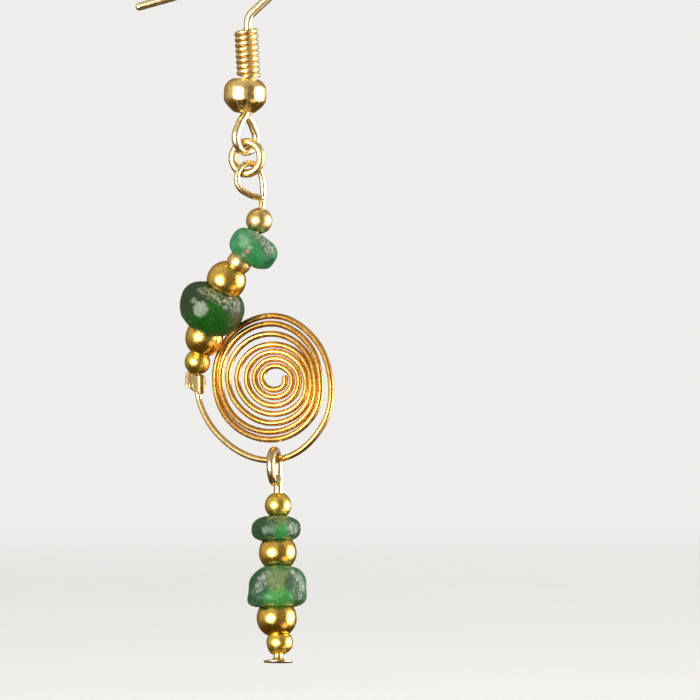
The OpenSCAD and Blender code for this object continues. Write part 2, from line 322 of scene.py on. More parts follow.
@dataclass
class Wire:
    """Drawn wire along a path.

    Attributes:
        path: The middle of the wire, one point a row, in millimetres.
        radius: Half its thickness.
        uneven: How far the hand work moves its surface, in millimetres.
        seed: Which pattern of unevenness.
        first: A direction that its first ring's first corner points to.
        step: How far apart the rings are.
        sides: How many corners a ring has.
        start_round: How far its start is rounded, from nearly 0 to 1.
        end_round: How far its end is rounded.
        swell: Its thickness at each length along it, as a share.
    """

    path: np.ndarray
    radius: float
    uneven: float
    seed: int
    first: Triple = (0, 1, 0)
    step: float = 0.1
    sides: int = 20
    start_round: float = 0.2
    end_round: float = 0.2
    swell: Optional[Callable[[np.ndarray], np.ndarray]] = None

    # Where the rings of a rounded end lie on its quarter circle, in degrees
    ROUNDING = (14, 30, 46, 62, 76, 90)
    # How far apart the worked stretches, the swells and the nicks lie, in millimetres
    WORKED_APART = 5.0
    SWELLS_APART = 1.6
    NICKS_APART = 0.3

    def marked(self, skin: np.ndarray) -> np.ndarray:
        """How deep the hand work's swells and nicks are.

        Args:
            skin: The smooth surface's points.

        Returns:
            The depth at each point, as a number of at most 0.
        """
        worked = np.clip(ripple(skin, self.WORKED_APART, self.seed + 20) + 0.4, 0, 1)
        nicks = worked * np.clip(grain(skin, self.NICKS_APART, self.seed) - 0.5, 0, 1)
        swells = ripple(skin, self.SWELLS_APART, self.seed)
        return np.minimum(self.uneven * (swells - 1 - 9 * nicks), 0)

    def skin(self) -> Skin:
        """Carries a round section along the path without twist, and marks its surface.

        Returns:
            The wire's skin.
        """
        reach = np.concatenate([[0], np.cumsum(np.linalg.norm(np.diff(self.path, axis=0), axis=1))])
        arc = np.radians(self.ROUNDING)
        head = self.start_round * self.radius * (1 - np.cos(arc))
        foot = reach[-1] - self.end_round * self.radius * (1 - np.cos(arc[::-1]))
        middle = np.arange(head[-1] + self.step, foot[0] - self.step * 0.5, self.step)
        places = np.concatenate([head, middle, foot])
        thick = np.concatenate([np.sin(arc), np.ones(len(middle)), np.sin(arc[::-1])])
        if self.swell is not None:
            thick = thick * self.swell(places)
        at = np.stack([np.interp(places, reach, self.path[:, n]) for n in range(3)], -1)
        ways = np.gradient(at, axis=0)
        ways /= np.linalg.norm(ways, axis=1)[:, None]
        side = np.array(self.first, float)
        turn = np.arange(self.sides) * 2 * math.pi / self.sides
        outs = np.empty((len(at), self.sides, 3))
        for i, way in enumerate(ways):
            side = unit(side - (side @ way) * way)
            outs[i] = np.cos(turn)[:, None] * side + np.sin(turn)[:, None] * np.cross(way, side)
        skin = at[:, None] + outs * (self.radius * thick)[:, None, None]
        return Skin(skin + outs * (self.marked(skin) * thick[:, None])[..., None])


@dataclass
class Lathe:
    """A turned, drilled solid: a profile carried round an axis and joined to itself.

    Attributes:
        profile: Rows of radius and height, round the wall of the solid.
        at: The middle, in millimetres.
        way: The direction of the axis.
        sides: How many corners a ring has.
    """

    profile: np.ndarray
    at: np.ndarray
    way: np.ndarray
    sides: int = 72

    def rings(self) -> np.ndarray:
        """Carries each row of the profile round the axis.

        Returns:
            The rings of points, before anything dents them.
        """
        turn = np.arange(self.sides) * 2 * math.pi / self.sides
        r, h = self.profile[:, 0][:, None], self.profile[:, 1][:, None]
        local = np.stack([r * np.cos(turn), r * np.sin(turn), h + 0 * turn], -1)
        return local @ aimed(self.way).T + self.at


# Where the rings of a bead's mouth lie on its rounding, in degrees, and how many its bore has
MOUTH_STEPS = (75, 50, 25)
BORE_ROWS = 10


def drilled_profile(outer: np.ndarray, bore: float, lip: float) -> np.ndarray:
    """Joins the outside of a bead to its bore with rounded lips.

    Args:
        outer: Rows of radius and height from the lower lip to the upper lip.
        bore: Radius of the bore.
        lip: Radius of the rounding at each mouth.

    Returns:
        The closed profile, one row a ring.
    """
    low, high = outer[0, 1], outer[-1, 1]
    arc = np.radians(MOUTH_STEPS)
    upper = np.stack([bore + lip * (1 - np.cos(arc)), high - lip * (1 - np.sin(arc))], -1)
    lower = np.stack([bore + lip * (1 - np.cos(arc[::-1])), low + lip * (1 - np.sin(arc[::-1]))], -1)
    wall = np.linspace(high - lip, low + lip, BORE_ROWS)
    inner = np.stack([np.full(BORE_ROWS, bore), wall], -1)
    return np.concatenate([outer, upper, inner, lower])


@dataclass(frozen=True)
class Seat:
    """A round neighbour that a bead makes room for.

    Attributes:
        at: The neighbour's middle.
        radius: The neighbour's radius.
        gap: The space left round it.
    """

    at: np.ndarray
    radius: float
    gap: float = 0.04

    def press(self, rings: np.ndarray) -> np.ndarray:
        """Presses the seat into a bead.

        Args:
            rings: The bead's points.

        Returns:
            The points, with those inside the seat moved onto it.
        """
        away = rings - self.at
        far = np.linalg.norm(away, axis=-1, keepdims=True)
        reach = self.radius + self.gap
        return np.where(far < reach, self.at + away / far * reach, rings)


@dataclass
class GoldBead:
    """A round drilled bead, plain or dished where a neighbour sits.

    Attributes:
        at: Its middle.
        way: The direction of its bore.
        radius: Its radius.
        bore: Radius of the bore.
        seats: The neighbours that sit in it.
        seed: Which pattern of dents.
    """

    at: np.ndarray
    way: np.ndarray
    radius: float
    bore: float
    seats: Sequence[Seat]
    seed: int

    # Radius of the rounding at each mouth, and rings from mouth to mouth
    LIP = 0.06
    ROWS = 46
    # Depth of the dents and how far apart they lie, as shares of the radius
    DENT = 0.01
    DENTS_APART = 1.3

    def skin(self) -> Skin:
        """Turns the bead, with its shallow dents and its seats.

        Returns:
            The bead's skin.
        """
        edge = math.asin((self.bore + self.LIP) / self.radius)
        arc = np.linspace(-math.pi / 2 + edge, math.pi / 2 - edge, self.ROWS)
        outer = np.stack([self.radius * np.cos(arc), self.radius * np.sin(arc)], -1)
        rings = Lathe(drilled_profile(outer, self.bore, self.LIP), self.at, self.way).rings()
        away = rings - self.at
        waves = ripple(away / self.radius, self.DENTS_APART, self.seed)
        dents = self.DENT * self.radius * np.minimum(waves, 0)
        rings[: self.ROWS] += (away * dents[..., None])[: self.ROWS]
        for seat in self.seats:
            rings = seat.press(rings)
        return Skin(rings, Ends.JOINED)


@dataclass(frozen=True)
class PebbleShape:
    """The form of a tumbled glass bead.

    Attributes:
        radius: Radius at its belt.
        half: Half its height.
        square: How square its outline is, from 2 for an egg upwards.
        taper: How much narrower its top is than its belt, as a share.
        lump: How high its lumps are, as a share.
        lumps: How many lumps lie round it.
        lump_turn: Where the first lump lies, in degrees.
        rough: How uneven its surface is, in millimetres.
        tilt: Its body's turn about Y on the bore, in degrees.
        skew: How far its foot stands to the left of its top, in millimetres.
    """

    radius: float
    half: float
    square: float
    taper: float
    lump: float
    lumps: int
    lump_turn: float
    rough: float
    tilt: float = 0
    skew: float = 0


@dataclass
class Pebble:
    """A tumbled glass bead: a lumpy rounded drum with an off-centre bore.

    Attributes:
        shape: Its form.
        at: The middle of its bore.
        way: The direction of its bore.
        bore: Radius of the bore.
        shift: Its body's middle from the bore's middle.
        seats: The neighbours that sit in it.
        seed: Which pattern of unevenness.
    """

    shape: PebbleShape
    at: np.ndarray
    way: np.ndarray
    bore: float
    shift: np.ndarray
    seats: Sequence[Seat]
    seed: int

    # Corners of a ring, rings outside, and rings in the bore
    SIDES = 200
    ROWS = 128
    WALL_ROWS = 12
    # Degrees up from the belt to the last ring, and to where the ends are drawn in to the bore
    LAST = 84
    DRAWN_IN = 62
    # How far the mouth's edge stands off the bore, across and along
    MOUTH = 0.08
    LIP = 0.06
    # How far apart its worn stretches, swells, pits and fine marks lie, in millimetres
    WORN_APART = 2.4
    SWELLS_APART = 1.5
    PITS_APART = 0.26
    FINE_APART = 0.12
    # Depth of the fine marks, in millimetres
    FINE = 0.025

    def body(self, turn: np.ndarray, slant: np.ndarray) -> np.ndarray:
        """The bead's outside before it is worn or drilled.

        Args:
            turn: The angles round a ring.
            slant: The angle up from the belt to each ring, one a row.

        Returns:
            The rings of points.
        """
        form = self.shape
        power = 2 / form.square
        r = form.radius * np.cos(slant) ** power * (1 - form.taper * np.sin(slant))
        r = r * (1 + form.lump * np.cos(form.lumps * turn + math.radians(form.lump_turn)) * np.cos(slant))
        h = form.half * np.sign(slant) * np.abs(np.sin(slant)) ** power
        body = np.stack([r * np.cos(turn), r * np.sin(turn), h + 0 * turn], -1)
        body = body @ (aimed(self.way) @ turned(y=form.tilt)).T + self.at + self.shift
        body[..., 0] += form.skew / 2 * np.sin(slant)
        return body

    def worn(self, body: np.ndarray) -> np.ndarray:
        """Wears swells, pits and fine grain into the outside.

        Args:
            body: The rings of points.

        Returns:
            The points, moved in.
        """
        out = body - body.mean((0, 1))
        out /= np.linalg.norm(out, axis=-1, keepdims=True)
        wear = np.clip(ripple(body, self.WORN_APART, self.seed + 5) + 0.3, 0.15, 1)
        pits = wear * np.clip((grain(body, self.PITS_APART, self.seed) - 0.56) / 0.3, 0, 1)
        fine = wear * grain(body, self.FINE_APART, self.seed + 3)
        swells = ripple(body, self.SWELLS_APART, self.seed)
        marks = self.shape.rough * (swells - 0.9 - 1.8 * pits) - self.FINE * fine
        return body + out * marks[..., None]

    def round_bore(self, radius: float, turn: np.ndarray, level: Any) -> np.ndarray:
        """The points of a ring round the bore's line at a level along it, or of one ring for each level."""
        x, y = radius * np.cos(turn) + 0 * level, radius * np.sin(turn) + 0 * level
        return np.stack([x, y, level + 0 * turn], -1) @ aimed(self.way).T + self.at

    def skin(self) -> Skin:
        """Draws the worn outside in to the bore at both ends, and presses the seats.

        Returns:
            The bead's skin.
        """
        turn = np.arange(self.SIDES) * 2 * math.pi / self.SIDES
        slant = np.radians(np.linspace(-self.LAST, self.LAST, self.ROWS))[:, None]
        body = self.worn(self.body(turn, slant))
        heights = (body - self.at) @ aimed(self.way)[:, 2]
        foot, top = heights[0].mean(), heights[-1].mean()
        low, high = (self.round_bore(self.bore + self.MOUTH, turn, level) for level in (foot, top))
        pull = (np.degrees(np.abs(slant)) - self.DRAWN_IN) / (self.LAST - self.DRAWN_IN)
        pull = np.clip(pull, 0, 1)[..., None] ** 2
        outer = body * (1 - pull) + np.where(slant[..., None] < 0, low[None], high[None]) * pull
        wall = np.linspace(top - self.LIP, foot + self.LIP, self.WALL_ROWS)[:, None]
        rings = np.concatenate([outer, self.round_bore(self.bore, turn, wall)])
        for seat in self.seats:
            rings = seat.press(rings)
        return Skin(rings, Ends.JOINED)


@dataclass
class NodeBench:
    """A small bench for laying out shader nodes.

    Attributes:
        tree: The node tree that is being laid out.
    """

    tree: bpy.types.NodeTree

    def add(self, kind: str, **settings: Any) -> bpy.types.Node:
        """Adds a node.

        Args:
            kind: The node's type name, without its ShaderNode part.
            **settings: Properties to set on it.

        Returns:
            The node.
        """
        node = self.tree.nodes.new(kind if kind.startswith("NodeGroup") else "ShaderNode" + kind)
        for key, value in settings.items():
            setattr(node, key, value)
        return node

    def feed(self, socket: bpy.types.NodeSocket, value: Any) -> None:
        """Links a socket to another, or sets it to a plain value.

        Args:
            socket: The input to feed.
            value: A socket, number, vector or colour.
        """
        if isinstance(value, bpy.types.NodeSocket):
            self.tree.links.new(value, socket)
        elif isinstance(value, tuple) and socket.type == "RGBA":
            socket.default_value = (*value[:3], 1)
        else:
            socket.default_value = value

    def feed_all(self, node: bpy.types.Node, values: dict[str, Any]) -> None:
        """Feeds several inputs of a node, each by its name."""
        for key, value in values.items():
            self.feed(node.inputs[key], value)

    def maths(self, operation: str, a: Any, b: Any = 0.0, clamp: bool = False) -> bpy.types.NodeSocket:
        """Adds a Math node.

        Args:
            operation: Its operation.
            a: Its first value or socket.
            b: Its second value or socket.
            clamp: Whether to keep the result between 0 and 1.

        Returns:
            Its output.
        """
        node = self.add("Math", operation=operation, use_clamp=clamp)
        self.feed(node.inputs[0], a)
        self.feed(node.inputs[1], b)
        return node.outputs[0]

    def times(self, a: Any, b: Any, clamp: bool = False) -> bpy.types.NodeSocket:
        """Multiplies two values, and may keep the result between 0 and 1."""
        return self.maths("MULTIPLY", a, b, clamp)

    def plus(self, a: Any, b: Any, clamp: bool = False) -> bpy.types.NodeSocket:
        """Adds two values, and may keep the result between 0 and 1."""
        return self.maths("ADD", a, b, clamp)

    def less(self, a: Any, b: Any) -> bpy.types.NodeSocket:
        """Takes the second value from the first."""
        return self.maths("SUBTRACT", a, b)

    def vector(self, operation: str, a: Any, b: Any = None) -> bpy.types.Node:
        """Adds a Vector Math node.

        Args:
            operation: Its operation.
            a: Its first vector.
            b: Its second vector, or its scale for that operation.

        Returns:
            The node.
        """
        node = self.add("VectorMath", operation=operation)
        self.feed(node.inputs[0], a)
        if b is not None:
            self.feed(node.inputs["Scale" if operation == "SCALE" else 1], b)
        return node

    def noise(
        self, vector: Any, scale: Any, detail: float, rough: float, warp: float = 0
    ) -> bpy.types.NodeSocket:
        """Adds a Noise Texture.

        Args:
            vector: Where to read it.
            scale: Its scale.
            detail: Its number of finer layers.
            rough: How strong the finer layers are.
            warp: How far it is distorted.

        Returns:
            Its value.
        """
        node = self.add("TexNoise")
        self.feed_all(node, {
            "Vector": vector, "Scale": scale, "Detail": detail, "Roughness": rough, "Distortion": warp,
        })
        return node.outputs["Fac"]

    def cells(self, vector: Any, scale: Any) -> bpy.types.NodeSocket:
        """Adds a Voronoi Texture.

        Args:
            vector: Where to read it.
            scale: Its scale.

        Returns:
            The distance to the nearest cell's middle.
        """
        node = self.add("TexVoronoi")
        self.feed_all(node, {"Vector": vector, "Scale": scale})
        return node.outputs["Distance"]

    def spread(
        self, value: Any, low: Any, high: Any, to_low: float = 0.0, to_high: float = 1.0
    ) -> bpy.types.NodeSocket:
        """Adds a clamped, smooth Map Range.

        Args:
            value: The value to map.
            low: The value that gives to_low.
            high: The value that gives to_high.
            to_low: The result at low.
            to_high: The result at high.

        Returns:
            The mapped value.
        """
        node = self.add("MapRange", interpolation_type="SMOOTHSTEP", clamp=True)
        for socket, given in zip(node.inputs, (value, low, high, to_low, to_high)):
            self.feed(socket, given)
        return node.outputs[0]

    def mix(self, share: Any, a: Any, b: Any, how: str = "MIX") -> bpy.types.NodeSocket:
        """Adds a colour Mix node.

        Args:
            share: How much of b shows.
            a: The first colour.
            b: The second colour.
            how: The blend type.

        Returns:
            The mixed colour.
        """
        node = self.add("Mix", data_type="RGBA", blend_type=how)
        for n, given in ((0, share), (6, a), (7, b)):
            self.feed(node.inputs[n], given)
        return node.outputs[2]

    def dress(
        self, shader: bpy.types.Node, colour: Any, gloss: Any, height: Any, depth: float, strength: float
    ) -> None:
        """Feeds a surface's changing colour, roughness and relief to its shader.

        Args:
            shader: The Principled BSDF.
            colour: Its colour.
            gloss: Its roughness.
            height: The height of its relief.
            depth: How deep the relief is, in millimetres.
            strength: How much of the relief shows, from 0 to 1.
        """
        bump = self.add("Bump")
        self.feed_all(bump, {"Strength": strength, "Distance": depth * MM, "Height": height})
        self.feed_all(shader, {"Base Color": colour, "Roughness": gloss, "Normal": bump.outputs[0]})


class Effect(Enum):
    """The surface effects that several finishes share."""

    GILDING = "Worn gilding"
    FROST = "Tumbled glass"
    PATCH = "Patch"


def effect_bench(
    effect: Effect, inputs: Sequence[tuple[str, str, Any]], outputs: Sequence[tuple[str, str]]
) -> tuple[NodeBench, bpy.types.bpy_prop_collection, bpy.types.Node]:
    """Starts a node group with named sockets.

    Args:
        effect: The effect, whose value names the group.
        inputs: Name, socket type and default value of each input.
        outputs: Name and socket type of each output.

    Returns:
        The bench, what the group is given by name, and the group's output node.
    """
    tree = bpy.data.node_groups.new(effect.value, "ShaderNodeTree")
    for name, kind, value in inputs:
        socket = tree.interface.new_socket(name=name, in_out="INPUT", socket_type="NodeSocket" + kind)
        if value is not None:
            socket.default_value = value
    for name, kind in outputs:
        tree.interface.new_socket(name=name, in_out="OUTPUT", socket_type="NodeSocket" + kind)
    bench = NodeBench(tree)
    return bench, bench.add("NodeGroupInput").outputs, bench.add("NodeGroupOutput")


# What a finish's effect puts out, and the least roughness that it gives
SURFACE = (("Color", "Color"), ("Roughness", "Float"), ("Height", "Float"))
LEAST_ROUGH = 0.05


@cache
def gilding_group() -> bpy.types.NodeTree:
    """Builds the colour, roughness and relief of worn gold plate on wire and beads.

    Returns:
        The node group.
    """
    bench, given, made = effect_bench(
        Effect.GILDING,
        [
            ("Position", "Vector", None), ("Wrap", "Vector", None),
            ("Bright", "Color", (1, 0.8, 0.4, 1)), ("Deep", "Color", (0.7, 0.45, 0.15, 1)),
            ("Soil", "Color", (0.1, 0.05, 0.02, 1)), ("Tarnish", "Float", 0.5), ("Soiling", "Float", 0.3),
            ("Polish", "Float", 0.2), ("Streaks", "Float", 0.3), ("Lines", "Float", 8.0),
            ("Dents", "Float", 0.3),
        ],
        SURFACE,
    )
    at = given["Position"]
    cloud = bench.spread(bench.noise(at, 0.9, 3, 0.6, 0.4), 0.36, 0.66)
    fine = bench.noise(at, 4.0, 1, 0.5)
    specks = bench.spread(bench.noise(at, 2.6, 2, 0.6, 0.6), 0.58, 0.72)
    lines = bench.add("CombineXYZ")
    bench.feed_all(lines, {"X": given["Lines"], "Y": 0.5})
    streak = bench.noise(bench.vector("MULTIPLY", given["Wrap"], lines.outputs[0]).outputs[0], 1, 1, 0.5)
    colour = bench.mix(bench.times(cloud, given["Tarnish"], True), given["Bright"], given["Deep"])
    soiled = bench.times(specks, given["Soiling"], True)
    colour = bench.mix(soiled, colour, given["Soil"])
    gloss = bench.plus(given["Polish"], bench.times(bench.less(fine, 0.5), 0.22))
    gloss = bench.plus(gloss, bench.times(soiled, 0.4))
    drawn = bench.times(bench.spread(streak, 0.45, 0.75), bench.times(given["Streaks"], 0.22))
    gloss = bench.plus(gloss, drawn)
    pits = bench.spread(bench.cells(at, 1.7), 0.0, 0.42)
    relief = bench.times(pits, given["Dents"])
    relief = bench.plus(relief, bench.times(streak, given["Streaks"]))
    relief = bench.plus(relief, bench.times(fine, bench.times(given["Dents"], 0.5)))
    rough = bench.maths("MAXIMUM", gloss, LEAST_ROUGH, True)
    bench.feed_all(made, {"Color": colour, "Roughness": rough, "Height": relief})
    return bench.tree


@cache
def frost_group() -> bpy.types.NodeTree:
    """Builds the colour, roughness and relief of old tumbled glass.

    Returns:
        The node group.
    """
    bench, given, made = effect_bench(
        Effect.FROST,
        [
            ("Position", "Vector", None), ("Clear", "Color", (0.1, 0.4, 0.2, 1)),
            ("Cloudy", "Color", (0.2, 0.3, 0.2, 1)), ("Chalk", "Color", (0.7, 0.75, 0.68, 1)),
            ("Clouding", "Float", 0.5), ("Chalking", "Float", 0.3), ("Gloss", "Float", 0.25),
        ],
        SURFACE,
    )
    at = given["Position"]
    cloud = bench.spread(bench.noise(at, 0.75, 3, 0.6, 0.8), 0.38, 0.62)
    fine = bench.noise(at, 5, 2, 0.6)
    pits = bench.spread(bench.cells(at, 3.6), 0.08, 0.34)
    crust = bench.spread(bench.noise(at, 2.4, 3, 0.7, 0.5), 0.52, 0.66)
    dust = bench.spread(bench.noise(at, 3.8, 2, 0.7, 0.3), 0.42, 0.6)
    colour = bench.mix(bench.times(cloud, given["Clouding"], True), given["Clear"], given["Cloudy"])
    colour = bench.mix(bench.times(dust, 0.6), colour, (0.5, 0.55, 0.5), "MULTIPLY")
    colour = bench.mix(bench.times(bench.spread(fine, 0.55, 0.68), 0.1), colour, given["Chalk"])
    chalk = bench.times(crust, given["Chalking"], True)
    colour = bench.mix(chalk, colour, given["Chalk"])
    gloss = bench.plus(bench.plus(given["Gloss"], bench.times(chalk, 0.35)), bench.times(fine, 0.14))
    relief = bench.plus(bench.times(pits, 0.5), bench.times(fine, 0.3))
    relief = bench.less(relief, bench.times(crust, 0.35))
    rough = bench.maths("MAXIMUM", gloss, LEAST_ROUGH, True)
    bench.feed_all(made, {"Color": colour, "Roughness": rough, "Height": relief})
    return bench.tree


@cache
def patch_group() -> bpy.types.NodeTree:
    """Builds a mask for one blotch at a place on a bead, with a broken edge.

    Returns:
        The node group.
    """
    bench, given, made = effect_bench(
        Effect.PATCH,
        [
            ("Position", "Vector", None), ("Centre", "Vector", None), ("Reach", "Float", 1.0),
            ("Edge", "Float", 0.4), ("Broken", "Float", 0.5), ("Grain", "Float", 3.0),
            ("Speckle", "Float", 0.0),
        ],
        [("Mask", "Float")],
    )
    at, reach = given["Position"], given["Reach"]
    apart = bench.vector("DISTANCE", at, given["Centre"]).outputs["Value"]
    ragged = bench.less(bench.noise(at, given["Grain"], 2, 0.6, 0.4), 0.5)
    far = bench.plus(apart, bench.times(ragged, bench.times(given["Broken"], 4.0)))
    whole = bench.spread(far, bench.less(reach, given["Edge"]), reach, 1.0, 0.0)
    crumbs = bench.spread(bench.noise(at, 3.4, 2, 0.7, 0.8), 0.48, 0.54)
    lost = bench.times(bench.less(bench.times(whole, crumbs), whole), given["Speckle"])
    bench.feed(made.inputs["Mask"], bench.plus(whole, lost, True))
    return bench.tree


def start_material(name: str) -> tuple[bpy.types.Material, NodeBench, bpy.types.Node, bpy.types.NodeSocket]:
    """Starts a material.

    Args:
        name: Its name.

    Returns:
        The material, its bench, its shader and the place on the earring in millimetres.
    """
    made = bpy.data.materials.new(name)
    made.use_nodes = True
    bench = NodeBench(made.node_tree)
    at = bench.vector("SCALE", bench.add("TexCoord").outputs["Object"], 1 / MM).outputs[0]
    return made, bench, made.node_tree.nodes["Principled BSDF"], at


@dataclass(frozen=True)
class Gold:
    """A finish of worn gold plate.

    Attributes:
        name: The material's name.
        bright: Colour where it is clean.
        deep: Colour where it has toned down.
        tarnish: How much of it has toned down.
        soiling: How strong the specks are.
        polish: Its roughness where it is clean.
        streaks: How strong the lines along it are.
        dents: How strong its small dents are.
        relief: Depth of the marks, in millimetres.
        soil: Colour of what sits in its marks.
        lines: How many lines lie round it.
        pale: Bright and deep colours of a paler first stretch of wire, if it has one.
        pale_until: How far along the wire the paler stretch reaches, in millimetres.
    """

    name: str
    bright: Colour
    deep: Colour
    tarnish: float
    soiling: float
    polish: float
    streaks: float
    dents: float
    relief: float
    soil: Colour = (0.16, 0.07, 0.02)
    lines: float = 8
    pale: Optional[tuple[Colour, Colour]] = None
    pale_until: float = 0

    # Length over which a paler stretch turns into the rest, in millimetres
    PALE_EDGE = 5
    # How much of the marks' relief shows
    BUMP = 0.6
    # The tint of what its edges reflect
    TINT = (1.0, 0.9, 0.7, 1)

    @cache
    def material(self) -> bpy.types.Material:
        """Makes the material, once.

        Returns:
            The material.
        """
        made, bench, shader, at = start_material(self.name)
        wrap = bench.add("UVMap", uv_map=WRAP_MAP).outputs[0]
        bright, deep = self.bright, self.deep
        if self.pale is not None:
            split = bench.add("SeparateXYZ")
            bench.feed(split.inputs[0], wrap)
            edge = (self.pale_until, self.pale_until + self.PALE_EDGE)
            share = bench.spread(split.outputs["Y"], *edge, 1.0, 0.0)
            bright, deep = (bench.mix(share, *pair) for pair in zip((bright, deep), self.pale))
        group = bench.add("Group", node_tree=gilding_group())
        bench.feed_all(group, {
            "Position": at, "Wrap": wrap, "Bright": bright, "Deep": deep, "Soil": self.soil,
            "Tarnish": self.tarnish, "Soiling": self.soiling, "Polish": self.polish,
            "Streaks": self.streaks, "Lines": self.lines, "Dents": self.dents,
        })
        shader.inputs["Metallic"].default_value = 1.0
        shader.inputs["Specular Tint"].default_value = self.TINT
        bench.dress(shader, *group.outputs, self.relief, self.BUMP)
        return made


@dataclass(frozen=True)
class Blotch:
    """One blotch of colour on a glass bead. Some blotches are stains and crust, others painted shade,
    painted light and painted highlights.

    Attributes:
        at: Its middle from the bead's middle, in millimetres.
        reach: How far it reaches.
        edge: How soft its edge is, in millimetres.
        broken: How broken its edge is.
        colour: Its colour.
        strength: How much it covers.
        chalky: How much it roughens the surface.
        grain: How fine its broken edge is, in marks a millimetre.
        speckle: How much it falls apart into specks.
    """

    at: Triple
    reach: float
    edge: float
    broken: float
    colour: Colour
    strength: float = 1.0
    chalky: float = 0.0
    grain: float = 3.0
    speckle: float = 0.0

    def share(self, bench: NodeBench, at: Any, middle: Triple) -> bpy.types.NodeSocket:
        """How much the blotch covers.

        Args:
            bench: Where the material's nodes are laid out.
            at: The place on the earring, in millimetres.
            middle: The bead's middle.

        Returns:
            Its share, from 0 to 1.
        """
        patch = bench.add("Group", node_tree=patch_group())
        bench.feed_all(patch, {
            "Position": at, "Centre": tuple(a + b for a, b in zip(middle, self.at)), "Reach": self.reach,
            "Edge": self.edge, "Broken": self.broken, "Grain": self.grain, "Speckle": self.speckle,
        })
        return bench.times(patch.outputs["Mask"], self.strength, True)


@dataclass(frozen=True)
class Glass:
    """A finish of old tumbled glass with blotches at their places.

    Attributes:
        name: The material's name.
        slot: The finish slot that it belongs to.
        clear: Colour where it is clear.
        cloudy: Colour where it is cloudy.
        chalk: Colour of its worn crust.
        clouding: How much of it is cloudy.
        chalking: How strong the crust is.
        gloss: Its roughness where it is clean.
        through: How much light it lets through, from 0 to 1.
        relief: Depth of its pits, in millimetres.
        blotches: Its blotches, from the lowest layer up: stains and crust, painted shade on rims, painted
            light through the glass and painted highlights.
    """

    name: str
    slot: Slot
    clear: Colour
    cloudy: Colour
    chalk: Colour
    clouding: float
    chalking: float
    gloss: float
    through: float
    relief: float
    blotches: tuple[Blotch, ...]

    # How strongly it bends light, and how strong its shine is
    IOR = 1.45
    SHINE = 0.28
    # How much of the pits' relief shows, and how high a blotch's crust stands for its chalk
    BUMP = 1.0
    CRUST = 3

    @cache
    def material(self, middle: Triple) -> bpy.types.Material:
        """Makes the material, once.

        Args:
            middle: The bead's middle, in millimetres.

        Returns:
            The material.
        """
        made, bench, shader, at = start_material(self.name)
        group = bench.add("Group", node_tree=frost_group())
        bench.feed_all(group, {
            "Position": at, "Clear": self.clear, "Cloudy": self.cloudy, "Chalk": self.chalk,
            "Clouding": self.clouding, "Chalking": self.chalking, "Gloss": self.gloss,
        })
        colour, gloss, height = group.outputs
        for blotch in self.blotches:
            share = blotch.share(bench, at, middle)
            colour = bench.mix(share, colour, blotch.colour)
            if blotch.chalky:
                gloss = bench.plus(gloss, bench.times(share, blotch.chalky), True)
                height = bench.plus(height, bench.times(share, blotch.chalky * self.CRUST))
        shader.inputs["IOR"].default_value = self.IOR
        shader.inputs["Specular IOR Level"].default_value = self.SHINE
        shader.inputs["Transmission Weight"].default_value = self.through
        bench.dress(shader, colour, gloss, height, self.relief, self.BUMP)
        return made


HOOK_GOLD = Gold(
    "Hook gold", (0.96, 0.82, 0.54), (0.86, 0.66, 0.35),
    tarnish=0.4, soiling=0.1, polish=0.33, streaks=0.12, dents=0.06, relief=0.005,
)
COIL_GOLD = Gold(
    "Coil gold", (0.97, 0.78, 0.4), (0.84, 0.56, 0.2),
    tarnish=0.45, soiling=0.2, polish=0.32, streaks=0.1, dents=0.06, relief=0.005,
)
BALL_GOLD = Gold(
    "Hook ball gold", (1.0, 0.75, 0.35), (0.92, 0.63, 0.23), soil=(0.2, 0.12, 0.04),
    tarnish=0.45, soiling=0.25, polish=0.22, streaks=1.0, lines=46, dents=0.15, relief=0.016,
)
RING_GOLD = Gold(
    "Ring gold", (0.93, 0.72, 0.35), (0.8, 0.53, 0.17),
    tarnish=0.5, soiling=0.15, polish=0.36, streaks=0.1, dents=0.08, relief=0.005,
)
SPIRAL_GOLD = Gold(
    "Spiral gold", (0.8, 0.5, 0.155), (0.66, 0.31, 0.045), soil=(0.25, 0.1, 0.01),
    tarnish=0.7, soiling=0.3, polish=0.29, streaks=0.2, dents=0.16, relief=0.0085,
    pale=((1.0, 0.79, 0.42), (0.92, 0.64, 0.29)), pale_until=37,
)
PALE_BEAD = Gold(
    "Pale bead gold", (0.85, 0.66, 0.29), (0.69, 0.5, 0.17), soil=(0.18, 0.11, 0.03),
    tarnish=0.5, soiling=0.3, polish=0.36, streaks=0.05, dents=0.2, relief=0.012,
)
RICH_BEAD = Gold(
    "Rich bead gold", (0.96, 0.67, 0.17), (0.78, 0.49, 0.07), soil=(0.16, 0.1, 0.01),
    tarnish=0.55, soiling=0.3, polish=0.24, streaks=0.05, dents=0.22, relief=0.012,
)
LEMON_BEAD = Gold(
    "Lemon bead gold", (0.97, 0.76, 0.19), (0.78, 0.55, 0.07), soil=(0.15, 0.11, 0.01),
    tarnish=0.55, soiling=0.45, polish=0.29, streaks=0.05, dents=0.25, relief=0.014,
)
WARM_BEAD = Gold(
    "Warm bead gold", (0.93, 0.65, 0.16), (0.78, 0.47, 0.07), soil=(0.15, 0.08, 0.01),
    tarnish=0.55, soiling=0.4, polish=0.22, streaks=0.05, dents=0.22, relief=0.012,
)
CRIMP_GOLD = Gold(
    "Crimp gold", (0.52, 0.38, 0.185), (0.42, 0.285, 0.11),
    tarnish=0.6, soiling=0.3, polish=0.41, streaks=0.05, dents=0.1, relief=0.01,
)
PIN_GOLD = Gold(
    "Pin gold", (0.74, 0.64, 0.41), (0.58, 0.43, 0.22), soil=(0.22, 0.11, 0.03),
    tarnish=0.6, soiling=0.35, polish=0.33, streaks=0.15, dents=0.2, relief=0.01,
)


